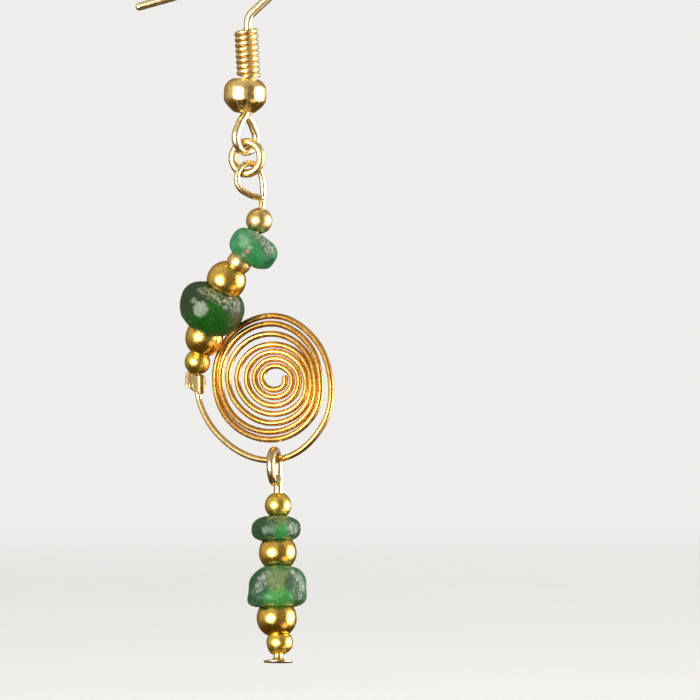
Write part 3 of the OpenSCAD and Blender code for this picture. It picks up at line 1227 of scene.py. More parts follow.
# A blotch's middle, reach, edge, brokenness, colour and strength, then its chalk, grain and speckle
SMALL_GLASS = Glass(
    "Small upper glass", Slot.GLASS_LIGHT, (0.026, 0.19, 0.065), (0.045, 0.21, 0.1), (0.34, 0.41, 0.31),
    clouding=0.6, chalking=0.12, gloss=0.24, through=0.2, relief=0.05,
    blotches=(
        # painted shade on the top left rim
        Blotch((-1.8, -1.2, 1.2), 1.0, 0.7, 0.2, (0.025, 0.17, 0.07), 0.8),
        # greener glass at the left and the front
        Blotch((-1.7, -1.4, 0.2), 0.8, 0.6, 0.2, (0.045, 0.27, 0.11), 0.7),
        Blotch((0.3, -2.0, 0.1), 0.7, 0.5, 0.2, (0.02, 0.19, 0.06), 0.8),
        # painted light shining through the glass, low in the middle
        Blotch((0.4, -1.8, -1.1), 1.3, 0.9, 0.15, (0.022, 0.225, 0.062), 0.85),
        # painted shade on the lower right rim
        Blotch((1.5, -1.1, -1.3), 0.9, 0.6, 0.2, (0.01, 0.09, 0.035), 0.8),
        # pale crust with a painted highlight where the left light falls
        Blotch((-0.7, -2.0, 0.6), 0.75, 0.5, 0.3, (0.2, 0.35, 0.19), 0.8, 0.12, 5.0, 0.4),
        Blotch((-1.1, -1.7, 1.1), 0.45, 0.3, 0.2, (0.16, 0.33, 0.17), 0.7, 0.12, 5.0, 0.4),
        # dark crumbs under the crust at the top right
        Blotch((0.5, -1.7, 1.1), 0.75, 0.3, 0.3, (0.05, 0.1, 0.05), 0.8, 0.1, 4.0),
        Blotch((1.15, -1.7, 0.5), 0.85, 0.3, 0.3, (0.04, 0.08, 0.045), 0.8, 0.1, 4.0),
        Blotch((1.6, -1.5, -0.15), 0.7, 0.3, 0.3, (0.04, 0.08, 0.045), 0.8, 0.1, 4.0),
        # pale crust with a painted highlight where the right light falls
        Blotch((0.5, -1.7, 1.1), 0.7, 0.3, 0.3, (0.29, 0.31, 0.2), 0.9, 0.3, 5.0, 0.9),
        Blotch((1.15, -1.7, 0.5), 0.8, 0.3, 0.3, (0.34, 0.37, 0.28), 0.9, 0.3, 5.0, 0.9),
        Blotch((1.6, -1.5, -0.15), 0.65, 0.25, 0.25, (0.38, 0.42, 0.33), 0.9, 0.3, 5.0, 0.8),
        # more pale crust with a painted highlight on the left
        Blotch((-0.25, -2.1, 0.0), 0.35, 0.2, 0.2, (0.36, 0.44, 0.28), 0.7, 0.2, 5.0, 0.4),
        Blotch((-0.8, -1.9, -0.7), 0.35, 0.2, 0.1, (0.42, 0.5, 0.36), 0.7, 0.2, 5.0, 0.5),
        # a small chip
        Blotch((-0.44, -2.14, -0.32), 0.34, 0.12, 0.05, (0.09, 0.11, 0.04), 0.85, 0.2),
        Blotch((-0.42, -2.14, -0.32), 0.25, 0.1, 0.04, (0.5, 0.27, 0.13), 0.95, 0.3),
    ),
)
LARGE_GLASS = Glass(
    "Large upper glass", Slot.GLASS_DARK, (0.009, 0.075, 0.008), (0.014, 0.05, 0.014), (0.32, 0.36, 0.25),
    clouding=0.5, chalking=0.12, gloss=0.2, through=0.2, relief=0.05,
    blotches=(
        # painted shade on the top left
        Blotch((-1.4, -1.3, 1.5), 2.7, 1.0, 0.3, (0.014, 0.03, 0.011), 0.95),
        # painted light shining through the glass, low in the middle
        Blotch((0.1, -2.7, -1.1), 1.9, 0.5, 0.15, (0.007, 0.08, 0.004), 1.0),
        # painted shade on the right rim
        Blotch((2.25, -1.9, 0.4), 1.6, 0.5, 0.4, (0.02, 0.035, 0.013), 0.85, 0.1),
        # pale crust with a painted highlight where the right light falls
        Blotch((2.25, -1.8, 0.6), 1.2, 0.4, 0.4, (0.4, 0.42, 0.34), 0.9, 0.3, 5.0, 0.97),
        Blotch((1.1, -2.4, 0.6), 0.8, 0.3, 0.4, (0.34, 0.36, 0.25), 0.9, 0.3, 5.0, 0.97),
        # brownish crust
        Blotch((0.1, -2.1, 1.6), 1.2, 0.4, 0.3, (0.24, 0.25, 0.13), 0.8, 0.2, 5.0, 0.97),
        Blotch((-0.9, -2.0, 1.9), 0.6, 0.3, 0.3, (0.26, 0.27, 0.16), 0.7, 0.2, 5.0, 0.9),
        Blotch((2.1, -1.9, -0.8), 0.9, 0.3, 0.4, (0.12, 0.115, 0.03), 0.7, 0.2, 5.0, 0.8),
        # pale crust with a painted highlight where the left light falls, a small dark pit, and more of that
        # crust and painted highlight
        Blotch((-0.97, -2.9, -0.05), 0.78, 0.16, 0.2, (0.31, 0.35, 0.26), 0.85, 0.25, 5.0, 0.3),
        Blotch((-0.5, -2.85, -0.15), 0.2, 0.1, 0.05, (0.03, 0.08, 0.03), 0.8),
        Blotch((-1.6, -2.4, 0.8), 0.4, 0.15, 0.2, (0.32, 0.36, 0.27), 0.7, 0.2, 5.0, 0.6),
    ),
)
RONDELLE_GLASS = Glass(
    "Rondelle glass", Slot.GLASS_DARK, (0.016, 0.085, 0.028), (0.022, 0.085, 0.034), (0.32, 0.39, 0.29),
    clouding=0.5, chalking=0.12, gloss=0.22, through=0.2, relief=0.05,
    blotches=(
        # painted shade on the left
        Blotch((-1.5, -1.4, 0.6), 1.5, 0.8, 0.3, (0.016, 0.052, 0.021), 0.9),
        # painted light shining through the glass in the middle
        Blotch((0.7, -2.0, -0.25), 1.2, 0.7, 0.2, (0.034, 0.245, 0.058), 0.9),
        # painted shade on the right rim, then pale crust with a painted highlight where the right light
        # falls
        Blotch((1.7, -1.4, 0.1), 0.95, 0.35, 0.3, (0.014, 0.04, 0.02), 0.8, 0.1),
        Blotch((1.65, -1.4, 0.1), 0.8, 0.3, 0.3, (0.38, 0.43, 0.35), 0.85, 0.3, 5.0, 0.85),
        # pale crust with a painted highlight where the left light falls
        Blotch((-0.95, -1.98, 0.0), 0.5, 0.25, 0.2, (0.34, 0.44, 0.33), 0.5, 0.3, 5.0, 0.5),
        Blotch((-0.4, -2.1, 0.02), 0.42, 0.25, 0.2, (0.34, 0.44, 0.33), 0.4, 0.3, 5.0, 0.5),
        # a small dark pit, then brownish crust on the top
        Blotch((0.1, -2.2, -0.85), 0.16, 0.08, 0.05, (0.005, 0.02, 0.008), 0.9),
        Blotch((0.2, -1.5, 1.0), 1.2, 0.4, 0.3, (0.2, 0.21, 0.07), 0.7, 0.2, 5.0, 0.9),
    ),
)
CHUNK_GLASS = Glass(
    "Chunk glass", Slot.GLASS_LIGHT, (0.02, 0.12, 0.035), (0.03, 0.12, 0.045), (0.32, 0.37, 0.27),
    clouding=0.6, chalking=0.3, gloss=0.28, through=0.15, relief=0.09,
    blotches=(
        # painted shade on the left
        Blotch((-2.1, -1.6, 0.3), 2.0, 0.8, 0.3, (0.012, 0.06, 0.024), 0.9),
        # painted light shining through the glass, low in the middle
        Blotch((0.4, -2.5, -1.3), 1.7, 0.6, 0.2, (0.05, 0.25, 0.05), 0.9),
        # the amber middle
        Blotch((0.1, -2.6, 0.9), 1.5, 0.7, 0.3, (0.15, 0.19, 0.06), 0.8, 0.05, 3.0, 0.2),
        # painted shade on the right rim
        Blotch((1.7, -2.0, 0.3), 1.25, 0.4, 0.35, (0.01, 0.036, 0.014), 0.95, 0.1, 5.0, 0.5),
        Blotch((2.3, -1.3, -1.2), 0.9, 0.4, 0.3, (0.012, 0.05, 0.018), 0.9, 0.1, 5.0, 0.4),
        # white crust on the left
        Blotch((-1.1, -2.15, 1.4), 0.7, 0.2, 0.25, (0.36, 0.41, 0.33), 0.9, 0.35, 5.0, 0.75),
        Blotch((-1.4, -2.2, 0.7), 0.65, 0.2, 0.25, (0.36, 0.41, 0.33), 0.9, 0.35, 5.0, 0.75),
        Blotch((-1.6, -2.1, 0.1), 0.6, 0.2, 0.25, (0.34, 0.39, 0.31), 0.9, 0.35, 5.0, 0.8),
        Blotch((-2.0, -1.7, -0.35), 0.4, 0.2, 0.2, (0.34, 0.39, 0.31), 0.8, 0.3, 5.0, 0.8),
        # white crust with a painted highlight where the right light falls
        Blotch((1.8, -1.75, 1.45), 0.65, 0.2, 0.25, (0.46, 0.51, 0.42), 0.9, 0.35, 5.0, 0.75),
        Blotch((2.25, -1.35, 0.9), 0.65, 0.2, 0.25, (0.48, 0.53, 0.45), 0.9, 0.35, 5.0, 0.65),
        Blotch((2.4, -1.15, 0.1), 0.7, 0.2, 0.25, (0.48, 0.53, 0.44), 0.9, 0.35, 5.0, 0.65),
        Blotch((2.25, -1.4, -0.75), 0.5, 0.2, 0.25, (0.44, 0.48, 0.38), 0.9, 0.35, 5.0, 0.75),
    ),
)


@dataclass
class Assembly:
    """Something made of pieces that all ride on one body."""

    BODY: ClassVar[Body]

    def place(self, node: str, skin: Skin, slot: Slot, material: bpy.types.Material) -> None:
        """Makes a piece, dresses it and puts it in the place of its CAD node.

        Args:
            node: The CAD node that it stands for.
            skin: Its shape.
            slot: The finish slot it belongs to; not used.
            material: Its material.
        """
        piece = bpy.data.objects.new("made_" + node, skin.mesh("made_" + node))
        bpy.context.scene.collection.objects.link(piece)
        piece.data.materials.append(material)
        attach(piece, self.BODY.value)
        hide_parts(node)
        log.info("%s: %d faces on %s", node, len(piece.data.polygons), self.BODY.value)


@dataclass
class EarHook(Assembly):
    """The ear wire with its coil and ball.

    Attributes:
        wire: Thickness of its wire.
        arch: Radius of its arch.
        stem: Length of its stem below the last bend.
        lean: How far the stem leans, in degrees.
        eye: Radius of its eye.
        neck: Height from the eye's middle to its neck.
        eye_turn: Turn of the eye out of the hook's plane, in degrees.
        coil_wire: Thickness of the coil's wire.
        coil_width: Width of the coil.
        coil_turns: Number of its turns.
        coil_pitch: Height of a turn.
        coil_lean: How far the coil leans, in degrees.
        coil_start: Where round the stem its wire starts, in degrees.
        coil_seat: How far it reaches down over the ball's shoulder.
        ball_width: Width of the ball.
        ball_height: Height of the ball.
        ball_low: Height of its foot above the neck of the eye.
        ball_bore: Radius of its bore.
        ball_shift: How far it stands left of the stem.
        ball_tilt: How far it leans, in degrees.
        ball_dent: Depth of its dents, as a share.
    """

    BODY = Body.HOOK

    wire: float = 0.78
    arch: float = 3.1
    stem: float = 8.45
    lean: float = 1.3
    eye: float = 1.27
    neck: float = 2.05
    eye_turn: float = 45
    coil_wire: float = 0.48
    coil_width: float = 2.2
    coil_turns: float = 8.65
    coil_pitch: float = 0.503
    coil_lean: float = 3.2
    coil_start: float = -120
    coil_seat: float = 0.14
    ball_width: float = 3.88
    ball_height: float = 3.24
    ball_low: float = 0.1
    ball_bore: float = 0.47
    ball_shift: float = 0.12
    ball_tilt: float = 3
    ball_dent: float = 0.006

    # Straight run, bend radius and bend angle of the wire after each end of the arch
    STEM_BENDS = ((2.75, 1.2, 47), (1.95, 1.2, -45.7))
    TAIL_BENDS = ((0, 3.6, 74), (3.75, 1, 0))
    # Where the eye's points lie round it from its neck, in degrees
    EYE_STEPS = (8, 16, *range(26, 335, 6), 344, 352, 356)
    # How far round from the neck the eye is drawn up to it, in radians, and how sharply
    NECK_REACH = 0.96
    NECK_BEND = 1.6
    # Height of the point of the stem that leads into the neck
    LEAD = 0.3
    # Thickness at the tip of the tail and what it gains, as shares, and the length that it gains it over
    TIP = 0.93
    TIP_GAIN = 0.07
    TIP_REACH = 2.2
    # Points on a turn of the coil
    COIL_STEPS = 36
    # Radius and height of the ball's outline under and over its belt, and heights of the belt's edges
    BALL_FOOT = (
        (0.62, -1.49), (0.78, -1.5), (0.96, -1.45), (1.13, -1.33), (1.31, -1.17), (1.51, -0.98),
        (1.68, -0.8), (1.82, -0.6), (1.91, -0.38),
    )
    BALL_SHOULDER = (
        (1.935, 0.58), (1.89, 0.84), (1.8, 1.02), (1.65, 1.22), (1.48, 1.38), (1.3, 1.5),
        (1.14, 1.55), (0.88, 1.45), (0.62, 1.4),
    )
    BELT = (-0.1, 0.25)
    # Radius of the rounding at its mouths, and how far apart its large and small dents lie
    BALL_LIP = 0.08
    BALL_DENTS_APART = (1.6, 0.7)

    def __post_init__(self) -> None:
        """Bends the wire's arch both ways and finds where the stem ends."""
        start = (0.0, self.wire / 2)
        self.stem_flat = walk([(0, self.arch, 90), *self.STEM_BENDS], start, 90)
        self.tail_flat = walk([(0, self.arch, -90), *self.TAIL_BENDS], start, -90)
        self.apex_z = self.stem_flat[-1][1] - self.stem * math.cos(math.radians(self.lean))
        self.apex_x = self.stem_x(self.apex_z)

    def stem_x(self, z: float) -> float:
        """How far across the stem is at a height."""
        top = self.stem_flat[-1]
        return float(top[0] + (z - top[1]) * math.tan(math.radians(self.lean)))

    def ball_z(self) -> float:
        """The height of the ball's middle."""
        return self.apex_z + self.ball_low + self.ball_height / 2

    def wire_path(self) -> np.ndarray:
        """Lays out the middle of the wire.

        Returns:
            The points, from the tip of the tail to the end of the eye.
        """
        round_it = np.radians(self.EYE_STEPS)
        from_neck = np.minimum(round_it, 2 * math.pi - round_it)
        drawn_up = np.clip(1 - from_neck / self.NECK_REACH, 0, 1) ** self.NECK_BEND
        out = self.eye + (self.neck - self.eye) * drawn_up
        eye = np.stack([-out * np.sin(round_it), out * np.cos(round_it) - self.neck], -1)
        eye = smooth(np.concatenate([[[0, self.LEAD]], eye]), 4)
        turn = math.radians(self.eye_turn)
        eye_path = [[self.apex_x + u * math.cos(turn), u * math.sin(turn), self.apex_z + h] for u, h in eye]
        flat = np.concatenate([self.tail_flat[:0:-1], self.stem_flat])
        return np.concatenate([np.stack([flat[:, 0], 0 * flat[:, 0], flat[:, 1]], -1), eye_path])

    def build_wire(self) -> None:
        """Builds the hook's own wire, filed round at the tip of its tail."""
        def swell(along: np.ndarray) -> np.ndarray:
            """The wire's thickness at each length along it, as a share."""
            return self.TIP + self.TIP_GAIN * np.clip(along / self.TIP_REACH, 0, 1)

        made = Wire(
            self.wire_path(), self.wire / 2,
            start_round=1.0, end_round=0.3, uneven=0.005, swell=swell, seed=3,
        )
        self.place("ear_hook", made.skin(), Slot.HOOK, HOOK_GOLD.material())

    def build_coil(self) -> None:
        """Builds the fine wire wound round the stem."""
        low = self.ball_z() + self.ball_height / 2 + self.coil_wire / 2 - self.coil_seat
        length = self.coil_turns * self.coil_pitch
        middle_z = low + length / 2
        radius = (self.coil_width - self.coil_wire) / 2
        k = np.arange(int(self.coil_turns * self.COIL_STEPS) + 1) / self.COIL_STEPS
        turn = 2 * math.pi * k + math.radians(self.coil_start)
        rise = self.coil_pitch * k - length / 2
        helix = np.stack([radius * np.cos(turn), radius * np.sin(turn), rise], -1)
        helix = helix @ turned(y=-self.coil_lean).T + np.array([self.stem_x(middle_z), 0, middle_z])
        made = Wire(
            helix, self.coil_wire / 2, first=(0, 0, 1),
            step=0.12, sides=14, end_round=0.25, uneven=0.004, seed=5,
        )
        self.place("hook_coil", made.skin(), Slot.COIL, COIL_GOLD.material())

    def build_ball(self) -> None:
        """Builds the belted ball under the coil."""
        belt = [(self.ball_width / 2, level) for level in self.BELT]
        outer = smooth(np.array([*self.BALL_FOOT, *belt, *self.BALL_SHOULDER]), 4)
        profile = drilled_profile(outer, self.ball_bore, self.BALL_LIP)
        z = self.ball_z()
        shift = self.ball_shift * math.cos(math.radians(self.ball_tilt))
        at = np.array([self.stem_x(z) - shift, 0, z])
        rings = Lathe(profile, at, turned(y=self.ball_tilt)[:, 2], sides=96).rings()
        out = rings - at
        large, small = self.BALL_DENTS_APART
        dents = np.minimum(ripple(out, large, 21) + 0.4 * ripple(out, small, 22), 0)
        rows = len(outer)
        rings[:rows] += (out * self.ball_dent * dents[..., None])[:rows]
        self.place("hook_ball", Skin(rings, Ends.JOINED), Slot.BEAD, BALL_GOLD.material())

    def build(self) -> None:
        """Builds and dresses the whole ear wire."""
        self.build_wire()
        self.build_coil()
        self.build_ball()


@dataclass
class JumpRing(Assembly):
    """The ring between the hook's eye and the spiral wire's loop.

    Attributes:
        wire: Thickness of its wire.
        slack: How much thinner its wire is made than its solid, at the radius.
        radius: Radius to the middle of the wire.
        turn: Turn out of the hook's plane, in degrees.
        slit: Where its ends meet, in degrees.
        gape: How far apart its ends are, in degrees.
    """

    BODY = Body.RING

    wire: float = 0.82
    slack: float = 0.015
    radius: float = 1.41
    turn: float = -23.6
    slit: float = 150
    gape: float = 1

    def build(self) -> None:
        """Builds the ring with the fine slit where its ends meet."""
        low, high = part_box("jump_ring")
        middle = np.array((low + high) / 2) / MM
        start, end = self.slit + self.gape / 2, self.slit + 360 - self.gape / 2
        angle = np.radians(np.linspace(start, end, 240))
        flat = np.stack([self.radius * np.cos(angle), 0 * angle, self.radius * np.sin(angle)], -1)
        path = flat @ turned(z=self.turn).T + middle
        made = Wire(
            path, self.wire / 2 - self.slack,
            sides=24, start_round=0.08, end_round=0.08, uneven=0.005, seed=7,
        )
        self.place("jump_ring", made.skin(), Slot.RING, RING_GOLD.material())


@dataclass
class Crimp:
    """The squeezed tube under the string, which the pliers folded into two lobes.

    Attributes:
        at: Its middle.
        way: The direction of its bore.
        seat: The bead that sits on it.
        bore: Radius of its bore.
        shift: How far its lobes stand left of the bore.
        sides: How many corners a ring has.
    """

    at: np.ndarray
    way: np.ndarray
    seat: Seat
    bore: float = 0.31
    shift: float = 0.12
    sides: int = 120

    # Outline of its foot and crown seen from above: across and to the front
    FOOT = (
        (0.99, 0.04), (0.98, 0.28), (0.92, 0.5), (0.8, 0.66), (0.62, 0.76), (0.47, 0.82), (0.37, 0.81),
        (0.25, 0.73), (-0.1, 0.45), (-0.4, 0.19), (-0.7, -0.07), (-0.9, -0.22), (-0.99, -0.33),
        (-0.95, -0.44), (-0.78, -0.52), (-0.4, -0.6), (0.1, -0.64), (0.6, -0.55), (0.88, -0.3),
    )
    CROWN = (
        (0.97, 0.05), (0.96, 0.28), (0.9, 0.46), (0.79, 0.58), (0.67, 0.64), (0.51, 0.66), (0.34, 0.6),
        (0.16, 0.47), (-0.1, 0.24), (-0.36, 0.01), (-0.56, -0.17), (-0.7, -0.27), (-0.77, -0.33),
        (-0.75, -0.39), (-0.6, -0.46), (-0.3, -0.54), (0.1, -0.6), (0.55, -0.55), (0.86, -0.25),
    )
    # Across it, height of its foot and height of its crown
    ENDS = (
        (-0.99, -0.2, 1.0), (-0.9, -0.42, 1.06), (-0.76, -0.5, 1.06), (-0.55, -0.5, 0.98),
        (-0.46, -0.62, 0.94), (-0.3, -0.72, 0.86), (-0.05, -0.82, 0.72), (0.3, -0.98, 0.7),
        (0.62, -1.08, 0.7), (0.8, -0.98, 0.66), (0.93, -0.6, 0.52), (0.99, -0.25, 0.4),
    )
    # Share of the way up, and how far the rounded edge draws that ring in, as a share
    ROWS = (
        (0, 0.14), (0.012, 0.06), (0.035, 0.015), (0.07, 0), *((k / 24, 0) for k in range(2, 23)),
        (0.945, 0), (0.97, 0.015), (0.99, 0.06), (1, 0.14),
    )
    # The pliers' marks: their height, their reach up and down, and their depth
    MARKS = (-0.28, 0.24, 0.045)
    # The fold between the lobes: where it lies across, its width and its depth
    FOLD = (-0.47, 0.07, 0.09)
    # Depth of its small dents, as a share, and how far apart they lie, in millimetres
    DENT = 0.03
    DENTS_APART = 0.9
    # The rings of its bore: share of the way up of the first and of the last, and how many there are
    BORE_RINGS = (0.98, 0.02, 8)

    def outline(self, shape: Sequence[tuple[float, float]]) -> np.ndarray:
        """Spaces the points of a closed outline evenly.

        Args:
            shape: The points that it goes through, round once.

        Returns:
            The points, two numbers a row.
        """
        knots = np.array(shape)
        around = smooth(np.concatenate([knots[-2:], knots, knots[:3]]), 12)[24:-24]
        reach = np.concatenate([[0], np.cumsum(np.linalg.norm(np.diff(around, axis=0), axis=1))])
        even = np.arange(self.sides) / self.sides * reach[-1]
        return np.stack([np.interp(even, reach, around[:, n]) for n in (0, 1)], -1)

    def struck(self, across: np.ndarray, front: np.ndarray, z: np.ndarray) -> np.ndarray:
        """Presses the pliers' marks and the fold into the front of a ring.

        Args:
            across: How far across its points lie.
            front: How far to the front they lie.
            z: Their heights.

        Returns:
            How far to the front they lie with the marks.
        """
        facing = np.clip(front + 0.45, 0, 0.3) / 0.3
        level, reach, depth = self.MARKS
        marks = np.exp(-(((z - level) / reach) ** 2)) * np.clip(-across + 0.1, 0, 0.3) / 0.3 * facing
        front = front - depth * marks * np.clip(np.sin((across + 0.3 * z) * 21), 0, 1)
        place, width, deep = self.FOLD
        fold = np.exp(-(((across - place + 0.2 * (z + 0.6)) / width) ** 2))
        return front - deep * fold * np.clip(-z - 0.1, 0, 0.5) * 2 * facing

    def skin(self) -> Skin:
        """Lofts the tube from foot to crown and joins it to its bore.

        Returns:
            The crimp's skin.
        """
        foot, crown = self.outline(self.FOOT), self.outline(self.CROWN)
        places, low_edge, top_edge = np.array(self.ENDS).T
        rows = []
        for share, inset in self.ROWS:
            across, front = (foot * (1 - share) + crown * share).T
            low, top = (np.interp(across, places, edge) for edge in (low_edge, top_edge))
            z = low + share * (top - low)
            front = self.struck(across, front, z)
            rows.append(np.stack([across * (1 - inset) - self.shift, front * (1 - inset), z], -1))
        count = len(rows)
        low, top = (rows[n][:, 2] for n in (0, -1))
        turn = np.arange(self.sides) * 2 * math.pi / self.sides
        x, y = self.bore * np.cos(turn), self.bore * np.sin(turn)
        shares = np.linspace(*self.BORE_RINGS)
        rows += [np.stack([x, y, low + share * (top - low)], -1) for share in shares]
        right = unit(np.array([1.0, 0, 0]) - self.way * self.way[0])
        rings = np.array(rows) @ np.array([right, np.cross(right, self.way), self.way]) + self.at
        rings = self.seat.press(rings)
        dents = np.minimum(ripple(rings, self.DENTS_APART, 61), 0)[:count, :, None]
        rings[:count] += (rings[:count] - self.at) * self.DENT * dents
        return Skin(rings, Ends.JOINED)


@dataclass
class SpiralString(Assembly):
    """The wire with its top loop, its string of beads and its flat spiral.

    Attributes:
        wire: Thickness of the wire.
        slack: How much thinner the wire is made than its solid, at the radius.
        loop_top: Height of the top of the loop.
        loop_turn: Turn of the loop out of the front plane, in degrees.
        loop_stem: Where the loop's stem stands, across and back.
        centre: The middle of the spiral.
        lean: How far its top leans back, as a slope.
        bore: Radius of the beads' bores.
    """

    BODY = Body.DROP

    wire: float = 0.6
    slack: float = 0.016
    loop_top: float = -21.3457
    loop_turn: float = 30
    loop_stem: tuple[float, float] = (2.22, 0.72)
    centre: Triple = (3.36, -0.35, -40.86)
    lean: float = 0.22
    bore: float = 0.5

    # Degrees wound out from the spiral's middle: at the crimp, where the dangle hangs, and at the tip
    START = 7 * 360 + 164
    HANG = 7 * 360 + 90
    TIP = -14
    # Degrees from one point of the spiral to the next
    STEP = 3.0
    # How many of the loop's close points are left off at its open end
    LOOP_CUT = 4
    # Across the loop, out of its plane, and height below its top
    LOOP = (
        (-0.1, -0.68, -3.2), (-0.6, -0.58, -3.12), (-1.14, -0.42, -3.02), (-1.68, -0.24, -2.8),
        (-2.24, -0.1, -2.44), (-2.58, 0, -1.9), (-2.66, 0, -1.28), (-2.46, 0, -0.66), (-1.96, 0, -0.18),
        (-1.36, 0, 0), (-0.8, 0, -0.14), (-0.36, 0, -0.55), (-0.08, 0, -1.3), (0.04, 0, -2.1),
        (0.02, -0.04, -2.9),
    )
    # Where the wire crosses the middle of each bead, and the bead's radius, 0 for glass
    BEADS = (
        ("upper_gold_small_1", (1.92, 0.2, -26.57), 1.2),
        ("upper_glass_small", (1.06, 0, -28.84), 0),
        ("upper_gold_small_2", (0.11, 0.1, -30.36), 1.12),
        ("upper_gold_large_1", (-1.08, 0.55, -31.99), 1.8),
        ("upper_glass_large", (-2.27, 1.2, -34.59), 0),
        ("upper_gold_large_2", (-3.15, 2.2, -37.18), 1.76),
        ("upper_gold_small_3", (-3.81, 3.05, -39.42), 1.18),
        ("crimp", (-3.93, 3.55, -41.3), 0),
    )
    # Radius at right, lower right, bottom, and so on round, then the sideways slant in degrees
    TURNS = (
        (0.94, 1.06, 1.06, 1.15, 1.18, 1.14, 1.11, 1.25, 20),
        (1.56, 1.71, 1.74, 1.81, 1.86, 1.8, 1.76, 1.87, 20),
        (2.19, 2.39, 2.49, 2.53, 2.58, 2.5, 2.4, 2.48, 20),
        (2.82, 3.18, 3.26, 3.34, 3.47, 3.28, 3.04, 3.08, 20),
        (3.26, 3.77, 4.08, 4.17, 4.34, 4.26, 4, 3.68, 24.5),
        (3.65, 4.32, 4.86, 5.14, 5.04, 5.09, 4.92, 4.33, 29),
        (4.13, 4.87, 5.55, 5.74, 5.56, 5.68, 5.64, 5.05, 31),
        (5.05, 6.1, 7.41, 7.36, 7.3, 7.3, 7.3, 7.3, 31),
    )
    # The two glass beads, and how far their middles stand off the wire
    SMALL_PEBBLE = PebbleShape(
        radius=2.28, half=1.5, square=2.7, taper=0,
        lump=0.03, lumps=3, lump_turn=20, rough=0.025, tilt=6,
    )
    LARGE_PEBBLE = PebbleShape(
        radius=3.0, half=2.35, square=2.3, taper=-0.04,
        lump=0.035, lumps=5, lump_turn=40, rough=0.035,
    )
    SMALL_SHIFT = (0.3, 0, -0.25)
    LARGE_SHIFT = (-0.15, 0, 0)

    def __post_init__(self) -> None:
        """Finds the beads' places and the directions of their bores."""
        self.at = {name: np.array(where, float) for name, where, _ in self.BEADS}
        self.radii = {name: radius for name, _, radius in self.BEADS}
        self.knots = np.array([self.loop_points()[-1], *self.at.values(), self.spiral_point(self.START)])
        curve = smooth(self.knots, 4)
        knots = range(4, len(curve), 4)
        self.way = {name: unit(curve[n - 2] - curve[n + 2]) for name, n in zip(self.at, knots)}

    def loop_points(self) -> np.ndarray:
        """Turns the loop's points and puts them in place.

        Returns:
            The points, one a row.
        """
        table = np.array(self.LOOP)
        c, s = math.cos(math.radians(self.loop_turn)), math.sin(math.radians(self.loop_turn))
        x = self.loop_stem[0] + table[:, 0] * c - table[:, 1] * s
        y = self.loop_stem[1] + table[:, 0] * s + table[:, 1] * c
        return np.stack([x, y, self.loop_top + table[:, 2]], -1)

    def spiral_point(self, angle: float) -> np.ndarray:
        """A point of the spiral.

        Args:
            angle: Degrees wound out from the middle, clockwise from the right.

        Returns:
            The point.
        """
        def radius(eighth: int) -> float:
            """The radius in the table at an eighth of a turn, or at the nearest one that it has."""
            n = min(max(eighth, 0), len(self.TURNS) * 8 - 1)
            return self.TURNS[n // 8][n % 8]

        e = math.floor(angle / 45)
        r = blend(radius(e - 1), radius(e), radius(e + 1), radius(e + 2), angle / 45 - e)
        lap = min(max(math.floor(angle / 360), 0), len(self.TURNS) - 2)
        part = min(max(angle / 360 - lap, 0), 1)
        before, after = self.TURNS[lap][-1], self.TURNS[lap + 1][-1]
        slant = math.radians(before + (after - before) * part)
        x, z = r * math.cos(math.radians(angle)), -r * math.sin(math.radians(angle))
        return np.array(self.centre) + [x, z * self.lean - x * math.tan(slant), z]

    def build_wire(self) -> None:
        """Builds the whole wire, from the end of its loop to the tip in the spiral's middle."""
        loop = smooth(self.loop_points(), 9)[self.LOOP_CUT:]
        string = smooth(self.knots, 16)
        turns = np.array([self.spiral_point(a) for a in np.arange(self.START, self.TIP, -self.STEP)])
        made = Wire(
            np.concatenate([loop[:-1], string[:-1], turns]), self.wire / 2 - self.slack,
            step=0.09, sides=22, start_round=0.7, end_round=0.4, uneven=0.004, seed=11,
        )
        self.place("spiral_wire", made.skin(), Slot.SPIRAL, SPIRAL_GOLD.material())

    def seats(self, names: Sequence[str]) -> list[Seat]:
        """The seats that beads of the string press into a neighbour."""
        return [Seat(self.at[name], self.radii[name]) for name in names]

    def gold_bead(self, name: str, seed: int, finish: Gold, pressed: Sequence[str] = ()) -> None:
        """Builds a gold bead.

        Args:
            name: Its node's name.
            seed: Which pattern of dents.
            finish: Its finish.
            pressed: The neighbours that sit in it.
        """
        at, way, radius = self.at[name], self.way[name], self.radii[name]
        bead = GoldBead(at, way, radius, self.bore, self.seats(pressed), seed)
        self.place(name, bead.skin(), Slot.BEAD, finish.material())

    def glass_bead(
        self, name: str, seed: int, finish: Glass, shape: PebbleShape, shift: Triple, pressed: Sequence[str]
    ) -> None:
        """Builds a glass bead.

        Args:
            name: Its node's name.
            seed: Which pattern of unevenness.
            finish: Its finish.
            shape: Its form.
            shift: How far its middle stands off the wire.
            pressed: The neighbours that sit in it.
        """
        at, off = self.at[name], np.array(shift)
        bead = Pebble(shape, at, self.way[name], self.bore, off, self.seats(pressed), seed)
        self.place(name, bead.skin(), finish.slot, finish.material(tuple(at + off)))

    def build_crimp(self) -> None:
        """Builds the crimp, with the last bead's seat in it."""
        seats = self.seats(["upper_gold_small_3"])
        made = Crimp(self.at["crimp"], self.way["crimp"], seats[0])
        self.place("crimp", made.skin(), Slot.CRIMP, CRIMP_GOLD.material())

